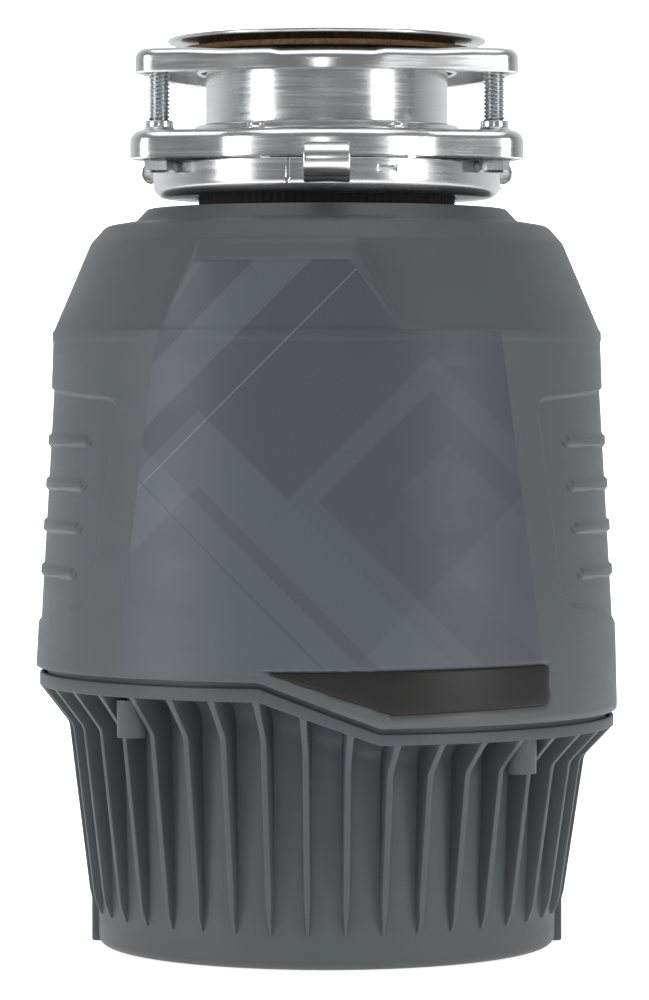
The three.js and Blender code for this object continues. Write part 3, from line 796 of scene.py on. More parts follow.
@dataclass(frozen=True)
class Moulded:
    """Injection-moulded plastic with a spark-eroded texture and faint handling marks."""

    name: str
    colour: Colour
    rough: float = 0.46
    pebble: float = 1700.0
    depth: float = 1.6e-5
    specular: float = 0.5

    def base(self, g: Graph) -> tuple[Socket, Socket, Socket]:
        """Colour, roughness and bump shared by every moulded finish.

        Args:
            g: The material's nodes.

        Returns:
            The three sockets.
        """
        fine = g.noise(self.pebble, 2.0, 0.55)
        cloud = g.noise(9.0, 4.0, 0.55)
        wipe = g.noise(1.0, 3.0, 0.6, g.stretched((14.0, 14.0, 75.0), (0, 18, 0)))
        tone = g.mottled(cloud, 0.3, 0.7, self.colour, 0.94, 1.06)
        tone = g.blend(g.span(fine, 0.35, 0.65, 0.0, 0.35), tone, shaded(self.colour, 0.86))
        rough = g.span(g.sum("ADD", g.sum("MULTIPLY", wipe, 0.7), g.sum("MULTIPLY", fine, 0.3)),
                       0.35, 0.65, self.rough - 0.05, self.rough + 0.07)
        return tone, rough, g.relief(fine, self.depth)

    def material(self) -> bpy.types.Material:
        """Builds the node material.

        Returns:
            The material.
        """
        g = Graph(self.name)
        return g.finish(*self.base(g), 0.0, Specular_IOR_Level=self.specular)


@dataclass(frozen=True)
class Patch:
    """A slanting rectangle of the printed film.

    Its sides are limits, in millimetres, on rise (z - x) and fall (z + x); lift is how much
    lighter it is than what lies under it, on a scale of 0 to 1.
    """

    rise: tuple[float, float]
    fall: tuple[float, float]
    lift: float


PATCHES = (
    Patch((248.0, 267.4), (0.0, 400.0), 0.17), Patch((0.0, 235.8), (0.0, 148.4), 0.12),
    Patch((210.0, 400.0), (0.0, 116.4), 0.10), Patch((0.0, 210.0), (116.4, 122.7), -0.09),
    Patch((163.5, 175.0), (148.4, 246.0), 0.085), Patch((0.0, 163.5), (148.4, 158.6), 0.085),
    Patch((0.0, 163.5), (234.0, 246.0), 0.07), Patch((132.2, 139.3), (190.0, 221.9), 0.055),
    Patch((0.0, 132.2), (214.8, 221.9), 0.05), Patch((0.0, 132.2), (180.0, 214.8), 0.03),
    Patch((0.0, 96.0), (0.0, 400.0), 0.05),
)


@dataclass(frozen=True)
class FilmedShell(Moulded):
    """The upper casing: moulded grey with a tone-on-tone printed film on its front.

    The film covers the points whose attribute "film" is above zero. Its design is a set of
    slanting rectangles and two fine lines.
    """

    film: Colour = (0.09, 0.1, 0.12)

    def between(self, g: Graph, value: Socket, low: float, high: float) -> Socket:
        """1 where a value in millimetres lies between two limits, with a fine soft edge.

        Args:
            g: The material's nodes.
            value: The value.
            low: The lower limit.
            high: The upper limit.

        Returns:
            The socket that gives it.
        """
        soft = 0.12
        above = g.span(value, low - soft, low + soft, 0.0, 1.0)
        below = g.span(value, high - soft, high + soft, 1.0, 0.0)
        return g.sum("MULTIPLY", above, below)

    def material(self) -> bpy.types.Material:
        """Builds the node material.

        Returns:
            The material.
        """
        g = Graph(self.name)
        tone, rough, bump = self.base(g)
        x, z = (g.sum("MULTIPLY", g.axis(which), 1.0 / MM) for which in "XZ")
        rise, fall = g.sum("SUBTRACT", z, x), g.sum("ADD", z, x)
        level = g.span(x, -75.0, 60.0, 0.16, 0.10)
        for patch in PATCHES:
            inside = g.sum("MULTIPLY", self.between(g, rise, *patch.rise), self.between(g, fall, *patch.fall))
            level = g.sum("ADD", level, g.sum("MULTIPLY", inside, patch.lift))
        fine = g.noise(self.pebble, 2.0, 0.55)
        level = g.sum("ADD", level, g.span(fine, 0.3, 0.7, -0.02, 0.02))
        pattern = g.tone(level, [(0.0, shaded(self.film, 0.72)), (0.5, shaded(self.film, 2.0))])
        for value, low, high, share, colour in ((rise, 229.6, 230.0, 0.42, (0.30, 0.33, 0.38, 1)),
                                                (fall, 103.3, 103.7, 0.65, (0.02, 0.026, 0.034, 1))):
            pattern = g.blend(g.sum("MULTIPLY", self.between(g, value, low, high), share), pattern, colour)
        inside = g.span(g.field("film"), -0.12 * MM, 0.12 * MM, 0.0, 1.0)
        tone = g.blend(inside, tone, pattern)
        bump = g.relief(inside, 4.0e-5, bump)
        return g.finish(tone, rough, bump, 0.0, Specular_IOR_Level=self.specular)


@dataclass(frozen=True)
class Rubber:
    """Matt black rubber with a talc bloom and a soft moulded grain."""

    name: str
    colour: Colour = (0.016, 0.016, 0.017)

    def material(self) -> bpy.types.Material:
        """Builds the node material.

        Returns:
            The material.
        """
        g = Graph(self.name)
        grain = g.noise(1300.0, 3.0, 0.6)
        bloom = g.noise(55.0, 4.0, 0.6)
        tone = g.blend(g.span(bloom, 0.42, 0.72, 0.0, 0.6), (*self.colour, 1), shaded(self.colour, 2.6))
        return g.finish(tone, g.span(bloom, 0.3, 0.7, 0.6, 0.82), g.relief(grain, 3.0e-5), 0.0,
                        Sheen_Weight=0.08)


@dataclass(frozen=True)
class PressedFibre:
    """Pressed vegetable fibre board: short crossed fibres in two browns."""

    name: str
    colour: Colour = (0.17, 0.095, 0.04)

    def material(self) -> bpy.types.Material:
        """Builds the node material.

        Returns:
            The material.
        """
        g = Graph(self.name)
        one, two = (g.noise(1.0, 3.0, 0.7, g.stretched(grain, (0, 0, turn))) for grain, turn in (
            ((260.0, 1900.0, 900.0), 25), ((1900.0, 260.0, 900.0), 70)))
        both = g.sum("MAXIMUM", one, two)
        tone = g.mottled(both, 0.45, 0.7, self.colour, 0.6, 1.5)
        return g.finish(tone, g.span(both, 0.4, 0.7, 0.92, 0.74), g.relief(both, 7.0e-5), 0.0)


@dataclass(frozen=True)
class Foam:
    """Open-cell sound deadening foam."""

    name: str
    colour: Colour = (0.03, 0.031, 0.034)

    def material(self) -> bpy.types.Material:
        """Builds the node material.

        Returns:
            The material.
        """
        g = Graph(self.name)
        pores = g.cells(700.0)
        tone = g.mottled(pores, 0.1, 0.7, self.colour, 0.35, 1.5)
        return g.finish(tone, g.span(pores, 0.0, 0.8, 0.98, 0.85), g.relief(pores, 4.0e-4), 0.0)


@dataclass(frozen=True)
class Layered:
    """Stacked or wound stock: fine parallel bands, as on laminations and coils."""

    name: str
    colour: Colour
    pitch: float
    rough: float = 0.45
    metal: float = 0.9

    def material(self) -> bpy.types.Material:
        """Builds the node material; the wave's scale is 2 pi over 20 pitches.

        Returns:
            The material.
        """
        g = Graph(self.name)
        bands = g.waves(math.pi / 10 / self.pitch, "Z", 0.25)
        blotch = g.noise(45.0, 4.0)
        tone = g.mottled(bands, 0.0, 0.5, self.colour, 0.35, 1.0)
        tone = g.blend(g.span(blotch, 0.45, 0.75, 0.0, 0.6), tone, shaded(self.colour, 0.6))
        return g.finish(tone, g.span(blotch, 0.3, 0.7, self.rough - 0.1, self.rough + 0.15),
                        g.relief(bands, self.pitch * 0.35), self.metal)


class Slot(Enum):
    """The record's material slots, and the finish that each takes."""

    POLISHED = "polished_steel"
    ZINC = "zinc_steel"
    STAINLESS = "stainless"
    SHAFT = "shaft_steel"
    CAST = "cast_aluminium"
    LAMINATION = "lamination"
    COPPER = "copper_winding"
    BRONZE = "bronze"
    GREY = "grey_plastic"
    DARK = "dark_plastic"
    BAND = "black_gloss"
    BLACK = "black_plastic"
    RED = "red_plastic"
    RUBBER = "black_rubber"
    FIBRE = "fibre"
    FOAM = "foam"
    CAN = "capacitor_can"


FINISHES = {
    Slot.POLISHED: Metal("polished_steel", (0.74, 0.74, 0.745), 0.23, (40.0, 40.0, 900.0), 6.0e-7),
    Slot.ZINC: Metal("zinc_plate", (0.62, 0.63, 0.64), 0.30, (300.0, 300.0, 900.0), 2.0e-6, crystals=True),
    Slot.STAINLESS: Metal("drawn_stainless", (0.64, 0.63, 0.61), 0.27, (30.0, 30.0, 2600.0), 2.0e-6),
    Slot.SHAFT: Metal("ground_shaft", (0.66, 0.66, 0.67), 0.22, (25.0, 25.0, 3800.0), 2.0e-6),
    Slot.CAST: CastMetal("cast_aluminium", (0.42, 0.43, 0.44)),
    Slot.LAMINATION: Layered("steel_laminations", (0.16, 0.165, 0.18), 0.0009),
    Slot.COPPER: Layered("enamelled_copper", (0.50, 0.19, 0.07), 0.0011, 0.3),
    Slot.BRONZE: CastMetal("sintered_bronze", (0.42, 0.27, 0.11), 0.5, 0.95),
    Slot.GREY: FilmedShell("casing_grey", (0.082, 0.093, 0.100), 0.46, specular=0.4,
                           film=(0.058, 0.066, 0.077)),
    Slot.DARK: Moulded("can_grey", (0.066, 0.076, 0.083), 0.5, specular=0.4),
    Slot.BAND: Moulded("band_black", (0.012, 0.0112, 0.0105), 0.42, 2600.0, 6.0e-6, specular=0.3),
    Slot.BLACK: Moulded("hard_black", (0.02, 0.02, 0.021), 0.42),
    Slot.RED: Moulded("button_red", (0.46, 0.02, 0.012), 0.35, 2400.0, 8.0e-6),
    Slot.RUBBER: Rubber("black_rubber"),
    Slot.FIBRE: PressedFibre("fibre_board"),
    Slot.FOAM: Foam("deadening_foam"),
    Slot.CAN: Metal("drawn_can", (0.60, 0.61, 0.62), 0.34, (2400.0, 40.0, 40.0), 3.0e-6),
}


class Wardrobe:
    """Makes each finish once and dresses pieces in it."""

    def __init__(self) -> None:
        """Builds every finish."""
        self.made = {slot: finish.material() for slot, finish in FINISHES.items()}
        self.dressed = 0

    def dress(self, piece: Piece, slot: Slot, body: str = "unit") -> Piece:
        """Gives a new piece the finish of its slot and the body that it rides on.

        Args:
            piece: The new piece.
            slot: Its slot.
            body: The body's name.

        Returns:
            The same piece.
        """
        piece.data.materials.clear()
        piece.data.materials.append(self.made[slot])
        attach(piece, body)
        self.dressed += 1
        LOG.info("%s: %d faces, %s, on %s", piece.name, len(piece.data.polygons), slot.value, body)
        return piece

    def dress_frame(self, loaded: dict) -> None:
        """Gives every CAD node that still shows the finish of its record slot.

        Args:
            loaded: The loaded frame.
        """
        slots = {row["node"]: row["material_slot"] for row in loaded["record"]["subparts"]}
        for name, node in loaded["nodes"].items():
            if node.hide_render:
                continue
            for holder in node.material_slots:
                holder.material = self.made[Slot(slots[name])]


# ------------------------------------------------------------------ casing
@dataclass
class Casing:
    """The two-part moulded casing, its black band and what shows of its base."""

    wardrobe: Wardrobe
    seam_step: float = 15.5
    step_from: float = -23.0
    step_to: float = 18.0
    shoulder: float = 219.5
    shoulder_r: float = 98.1
    waist: Point = (98.8, 200.0)
    grip_depth: float = 0.95
    grip_ribs: tuple[Point, ...] = ((181.0, 57.1), (165.6, 58.2), (150.6, 59.2), (134.8, 60.5))
    windows: tuple[Point, ...] = ((137.7, 21.0), (226.0, 12.2))
    window_depth: float = 2.25
    band_r: float = 104.4
    band_thick: float = 1.5
    base_r: float = 76.2
    ribs: int = 40
    first_rib: float = 4.5
    rim_top: float = 98.2
    rim_r: float = 103.2
    rib_low: float = 15.0
    film_depth: float = 5.0
    film: list[Point] = field(default_factory=lambda: [
        (-72.4, 102.0), (-60.5, 202.0), (-57.3, 219.5), (-41.7, 243.0), (7.6, 243.0), (24.8, 219.5),
        (59.6, 219.0), (74.4, 104.9)])
    panel_inner: list[Point] = field(default_factory=lambda: [
        (-57.3, 219.5), (-41.7, 243.0), (7.6, 243.0), (24.8, 219.5)])
    panel_outer: list[Point] = field(default_factory=lambda: [
        (-57.3, 219.5), (-44.3, 249.7), (10.7, 249.7), (24.8, 219.5)])

    def drop(self, x: Array) -> Array:
        """How far the seam lies below its high side: a ramp over x.

        Args:
            x: First coordinates of the points.

        Returns:
            Array of the points' shape.
        """
        return self.seam_step * np.clip((x - self.step_from) / (self.step_to - self.step_from), 0, 1)

    def columns(self) -> Array:
        """Azimuths of the upper casing's columns, closer where there is more to show.

        Returns:
            Azimuths in radians.
        """
        spans = [(-46, -38, 0.8), (-38, -23, 0.4), (-23, 3, 1.1), (3, 17, 0.4), (17, 46, 1.0), (46, 63, 0.3),
                 (63, 117, 2.0), (117, 134, 0.5), (134, 166, 2.0), (166, 194, 0.9), (194, 226, 2.0),
                 (226, 243, 0.5), (243, 297, 2.0), (297, 314, 0.3)]
        return np.radians(np.concatenate([np.arange(a, b - TINY, d) for a, b, d in spans]))

    def grip(self, azimuth: Array, z: Array) -> Array:
        """Depth of the side grips below the casing's face, with four ribs standing in each.

        Each grip lies inside four edges: slanting front and rear ones, and a top and a bottom
        that lean with the azimuth. A rib is a bar that widens towards the middle of the side.

        Args:
            azimuth: Azimuths of the points, in radians.
            z: Their heights.

        Returns:
            Array of the points' shape.
        """
        a = np.degrees(np.abs(np.arctan2(np.sin(azimuth), np.cos(azimuth))))
        a = np.minimum(a, 180.0 - a)
        arc = math.radians(1.0) * 100.0
        front = 47.3 + (192.0 - z) / 60.0 * 4.9
        inside = rounded_meet(5.0, (a - front) * arc, 196.0 + (a - 50.0) * 0.095 - z,
                              z - 125.0 + (a - 53.0) * 0.265)
        sunk = self.grip_depth * step(-0.3, 0.6, inside)
        for height, start in self.grip_ribs:
            half = 1.45 + 0.7 * np.clip((a - start) / (90.0 - start), 0, 1)
            bar = rounded_meet(1.3, half - np.abs(z - height), (a - start) * arc)
            pit = np.hypot((a - start + 0.9) * arc, z - height)
            sunk = sunk + (0.6 * step(1.5, 0.5, pit) - 1.05 * step(-0.3, 0.45, bar)) * (inside > 0)
        return sunk

    def window(self, x: Array, z: Array, behind: Array, height: float,
               radius: float) -> tuple[Array, Array, Array]:
        """Draws points near a round window's edge onto two close circles.

        Args:
            x: First coordinates of the points.
            z: Their heights.
            behind: Which points lie on the casing's rear face.
            height: Height of the window's middle.
            radius: The window's radius.

        Returns:
            New x, new z, and how far each point sinks.
        """
        away = np.where(behind, np.hypot(x, z - height), FAR)
        inner = (away <= radius) & (away > radius - 1.1)
        outer = (away > radius) & (away < radius + 1.1)
        target = np.where(inner, radius - 0.05, np.where(outer, radius + 0.12, away))
        share = target / np.maximum(away, TINY)
        return x * share, height + (z - height) * share, np.where(away <= radius, self.window_depth, 0.0)

    def profile(self) -> tuple[Array, int]:
        """Profile of the upper casing.

        Returns:
            The [radius, height] rows, and how many of them are on the outside.
        """
        top = box_mm("upper_shell")[1][2]
        side_z = np.concatenate([
            np.arange(101.0, 112.0, 0.5), np.arange(112.0, 130.0, 0.9), np.arange(130.0, 200.0, 0.7),
            np.arange(200.0, 214.0, 2.0), np.arange(214.0, 219.4, 0.75), np.arange(219.5, 248.0, 0.8)])
        knots_z = [100.0, self.waist[1], self.shoulder, 251.1]
        knots_r = [104.5, self.waist[0], self.shoulder_r, 84.7]
        side = np.column_stack([np.interp(side_z, knots_z, knots_r), side_z])
        side[:, 0] += 0.32 * step(215.5, 217.0, side_z) * step(220.4, 219.2, side_z)
        crown = filleted([
            (86.1, 247.8, 0), (84.7, 251.1, 5), (79.2, 257.3, 5), (68.6, 259.0, 3), (64.4, top, 1.6),
            (44.0, top, 0.8), (44.0, top - 2.5, 0.8), (63.0, top - 2.5, 0)], 5, closed=False)
        inside = np.array([(77.8, 254.8), (82.0, 249.6), (95.4, 218.7), (101.9, 109.0), (98.9, 107.0),
                           (98.9, 96.5), (100.6, 96.5), (100.6, 100.0)])
        edge = np.array([(103.8, 100.0), (104.35, 100.2)])
        return np.concatenate([edge, side, crown, inside]), len(edge) + len(side)

    def panel(self, x: Array, z: Array) -> Array:
        """Share by which the casing's front stands out to its flat panel.

        It is 1 inside the inner outline and falls to 0 at the outer one, as the depth inside
        the outer outline over that depth plus the distance from the inner one.

        Args:
            x: First coordinates of the points.
            z: Their heights.

        Returns:
            Array of the points' shape.
        """
        inner = polygon_depth(x, z, self.panel_inner)
        outer = polygon_depth(x, z, self.panel_outer)
        depth = np.clip(outer, 0, None)
        share = np.where(inner >= 0, 1.0, depth / np.maximum(depth - inner, TINY))
        return np.where(outer > 0, share, 0.0)

    def upper(self) -> None:
        """Builds the upper casing: r is the profile's radius plus panel, less grips, band and windows."""
        azimuths = self.columns()
        rows, outside = self.profile()
        r = np.repeat(rows[:, :1], len(azimuths), axis=1)
        z = np.repeat(rows[:, 1:], len(azimuths), axis=1)
        a = np.repeat(azimuths[None], len(rows), axis=0)
        out = (np.arange(len(rows)) < outside + 6)[:, None] & (z > 100.05)
        front = np.cos(a) > 0
        x = r * np.sin(a)
        proud = np.where(front & out, self.panel(x, z), 0.0)
        face = self.shoulder_r - (z - self.shoulder) * 0.068
        r = r + proud * np.maximum(face - r, 0.0)
        lowered = z - self.drop(x) * np.clip((112.0 - z) / 12.0, 0, 1)
        band = polygon_depth(x, lowered, self.band_outline(0.45))
        r = r - np.where(out, self.grip(a, z), 0.0) - 1.2 * step(-0.1, 0.3, band) * (front & out)
        x, y = r * np.sin(a), -r * np.cos(a)
        for height, radius in self.windows:
            x, lowered, hollow = self.window(x, lowered, (~front) & out, height, radius)
            r = r - hollow
            y = np.where(front | ~out, y, np.sqrt(np.maximum(r * r - x * x, 0.0)))
        film = np.where(front & out, polygon_depth(x, lowered, self.film), -self.film_depth)
        film = np.clip(film, -self.film_depth, self.film_depth) * MM
        grid = np.stack([x, y, lowered], axis=-1)
        piece = grid_object("upper_casing", grid, sharp=55.0, fields={"film": film})
        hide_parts("upper_shell")
        self.wardrobe.dress(piece, Slot.GREY)

    def band_outline(self, grow: float) -> list[Point]:
        """Outline of the black band on the casing's face.

        Args:
            grow: The margin by which it is grown.

        Returns:
            The corners as (x, z).
        """
        g = grow
        return [(-20.3 - 2.2 * g, 103.4 + g), (76.0 + g, 104.4 + g), (76.7 + g, 92.6),
                (76.3 + g, 91.1 - g * 0.5), (75.0 + g, 90.4 - g), (22.4 - 0.4 * g, 89.0 - g)]

    def band(self) -> None:
        """Builds the inlaid band: a thin curved plate between a slanting foot line and its top line."""
        across = np.concatenate([[-19.9, -19.5], np.linspace(-18.8, 74.4, 120), [75.1, 75.7, 76.1, 76.35]])
        foot = np.interp(across, [-20.3, 22.4, 74.2, 75.1, 75.7, 76.1, 76.4],
                         [103.25, 89.1, 90.35, 90.55, 90.95, 91.7, 92.8])
        ends = np.interp(across, [-20.3, -19.0, 75.0, 76.4], [0.15, 0.0, 0.0, 0.9])
        top = 103.35 + (across + 20.3) * 0.0105 - ends
        share = np.array([0.0, 0.02, 0.06, 0.3, 0.5, 0.7, 0.94, 0.98, 1.0])
        z = foot[None] + share[:, None] * (top - foot)[None]
        drop = np.array([0.35, 0.1, 0.0, 0.0, 0.0, 0.0, 0.0, 0.1, 0.35])[:, None]
        face = self.band_r - drop - np.interp(across, [-20.0, -19.0, 75.4, 76.4], [0.3, 0.0, 0.0, 0.3])[None]
        y = -np.sqrt(face ** 2 - across[None] ** 2)
        outer = np.stack([np.broadcast_to(across[None], z.shape), y, z], axis=-1)
        back = outer.copy()
        back[..., 1] = -np.sqrt((self.band_r - self.band_thick) ** 2 - across[None] ** 2)
        grid = np.concatenate([outer, back[::-1]], axis=0)
        piece = grid_object("front_band_inlay", grid, columns_close=False, sharp=50.0)
        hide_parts("front_band")
        self.wardrobe.dress(piece, Slot.BAND)

    def can_rows(self) -> tuple[Array, Array]:
        """Profiles of the ribbed can, through a valley and along a rib's crest.

        Returns:
            Two arrays of [radius, height] rows, which pair up.
        """
        foot = np.array([(75.8, 0.0)])
        curve = filleted([(75.8, 0.0, 0), (82.0, 0.0, 6.0), (82.2, 12.0, 0)], 8, closed=False)[1:]
        stem = np.array([12.6, 13.0, 13.6, 14.4, 15.4, 16.6, *np.linspace(20.0, 78.0, 18)])
        stem_valley = np.column_stack([np.interp(stem, [6.0, 76.0], [82.0, 84.0]), stem])
        stem_rib = np.column_stack([np.interp(stem, [15.0, 80.0], [84.8, 92.7]), stem])
        stem_rib[:, 0] = stem_valley[:, 0] + step(9.0, 19.0, stem) * (stem_rib[:, 0] - stem_valley[:, 0])
        arc = np.radians(np.linspace(180.0, 92.0, 11))
        ceiling = np.column_stack([93.15 + 9.0 * np.cos(arc), 83.9 + 9.0 * np.sin(arc)])
        valley_up = np.concatenate([
            np.column_stack([np.linspace(84.1, 84.15, 4), np.linspace(79.5, 83.0, 4)]),
            ceiling, [(97.0, 93.0), (101.0, 93.15), (102.6, 93.3)]])
        rib_line = filleted([(92.4, 78.0, 0), (92.9, 80.2, 4.0), (102.9, 93.1, 0)], 6, closed=False)
        length = np.concatenate([[0], np.cumsum(np.hypot(*np.diff(rib_line, axis=0).T))])
        at = np.linspace(0.04, 1.0, len(valley_up)) * length[-1]
        rib_up = np.column_stack([np.interp(at, length, rib_line[:, i]) for i in (0, 1)])
        rim = filleted([(102.9, 93.4, 0), (self.rim_r, 93.5, 0.5), (self.rim_r, self.rim_top, 0.7),
                        (101.6, self.rim_top, 0.4), (101.6, 95.3, 0)], 4, closed=False)
        inside = np.array([(101.0, 95.2), (83.2, 93.9), (81.6, 80.0), (79.2, 8.0), (75.8, 3.0)])
        return (np.concatenate([foot, curve, stem_valley, valley_up, rim, inside]),
                np.concatenate([foot, curve, stem_rib, rib_up, rim, inside]))

    def lower(self) -> None:
        """Builds the ribbed can.

        Every row has a valley radius and a rib radius, and each column takes a share of the
        rise between them. Columns on a rib keep their distance from its middle plane, so its
        sides stay parallel: the azimuth is the rib's own plus offset over radius.
        """
        offset = np.array([1.42, 1.29, 1.24, 1.02, 0.55])
        rise = np.array([0.0, 0.14, 0.88, 0.985, 1.0])
        offset = np.concatenate([-offset, [0.0], offset[::-1]])
        rise = np.concatenate([rise, [1.0], rise[::-1]])
        between = np.array([0.18, 0.38, 0.62, 0.82])
        valley, rib = self.can_rows()
        centres = np.radians(self.first_rib + 360.0 / self.ribs * np.arange(self.ribs))
        pitch = 2.0 * math.pi / self.ribs
        on_rib = [valley[:, i:i + 1] + rise[None] * (rib[:, i:i + 1] - valley[:, i:i + 1]) for i in (0, 1)]
        narrow = 0.3 + 0.7 * step(9.0, 27.0, valley[:, 1:])
        turn_rib = offset[None] * narrow / np.maximum(on_rib[0], 1.0)
        edge = turn_rib[:, -1:]
        turn_gap = edge + between[None] * (pitch - 2.0 * edge)
        turn = np.concatenate([turn_rib, turn_gap], axis=1)[:, None, :] + centres[None, :, None]
        gaps = [np.repeat(valley[:, i:i + 1], len(between), axis=1) for i in (0, 1)]
        r, z = (np.broadcast_to(np.concatenate(pair, axis=1)[:, None, :], turn.shape).reshape(len(valley), -1)
                for pair in zip(on_rib, gaps))
        turn = turn.reshape(len(valley), -1)
        x, y = r * np.sin(turn), -r * np.cos(turn)
        share = np.clip((z - self.rib_low) / (self.rim_top - self.rib_low), 0, 1)
        grid = np.stack([x, y, z - self.drop(x) * share], axis=-1)
        piece = grid_object("lower_can", grid, sharp=42.0)
        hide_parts("lower_shell")
        self.wardrobe.dress(piece, Slot.DARK)

    def base(self) -> None:
        """Builds the base plate with its openings, the side feet and the screw bosses."""
        middle, button, screw = (np.mean(box_mm(node), axis=0)[:2] for node in (
            "wiring_cover", "reset_button", "wiring_cover_screw"))
        rim, hub, push = ring_of(self.base_r, 160), ring_of(14.0, 64), ring_of(5.8, 40, *button)
        for name, cover, holes, low, high in (
                ("base_skin", 20.35, [], 0.0, 2.1),
                ("base_floor", 14.0, [ring_of(2.3, 20, *screw)], 2.1, 3.0)):
            loops = [rim, hub, push, *holes, self.cover_hole(cover) + middle]
            self.wardrobe.dress(plate_object(name, loops, low, high), Slot.DARK)
        for side, name in ((-1, "left"), (1, "right")):
            corners = block_corners((78.5, -3, 0.4), (84.6, 3, 17.0)) * [side, 1, 1]
            foot = new_object(f"foot_{name}", corners, [BLOCK_FACES], 40.0)
            self.wardrobe.dress(smoothed(bevelled(foot, 0.9), 50), Slot.DARK)
        for place in ("front_left", "front_right", "rear_left", "rear_right"):
            low, high = box_mm(f"shell_screw_{place}")
            centre, seat = (low + high) / 2, low[2] + 3.0
            reach = (high[0] - low[0]) / 2 + 0.35
            ring = filleted([
                (reach, seat - 3.0, 0.3), (reach + 0.8, seat - 3.0, 0.3), (reach + 1.0, seat + 10.0, 0),
                (2.6, seat + 10.0, 0), (2.6, seat, 0.3), (reach, seat, 0)], 3)
            grid = spun(ring, full_turn(36)) + np.array([centre[0], centre[1], 0.0])
            self.wardrobe.dress(grid_object(f"screw_boss_{place}", grid), Slot.DARK)

    @staticmethod
    def cover_hole(half: float, cut: float = 4.0) -> Array:
        """Outline of a square with cut corners about the origin.

        Args:
            half: Half the square's side.
            cut: How much each corner loses of both its sides.

        Returns:
            Array of [x, y] rows.
        """
        short = half - cut
        return np.array([(-short, -half), (short, -half), (half, -short), (half, short),
                         (short, half), (-short, half), (-half, short), (-half, -short)])

    def build(self) -> None:
        """Builds every part of the casing."""
        self.upper()
        self.band()
        self.lower()
        self.base()


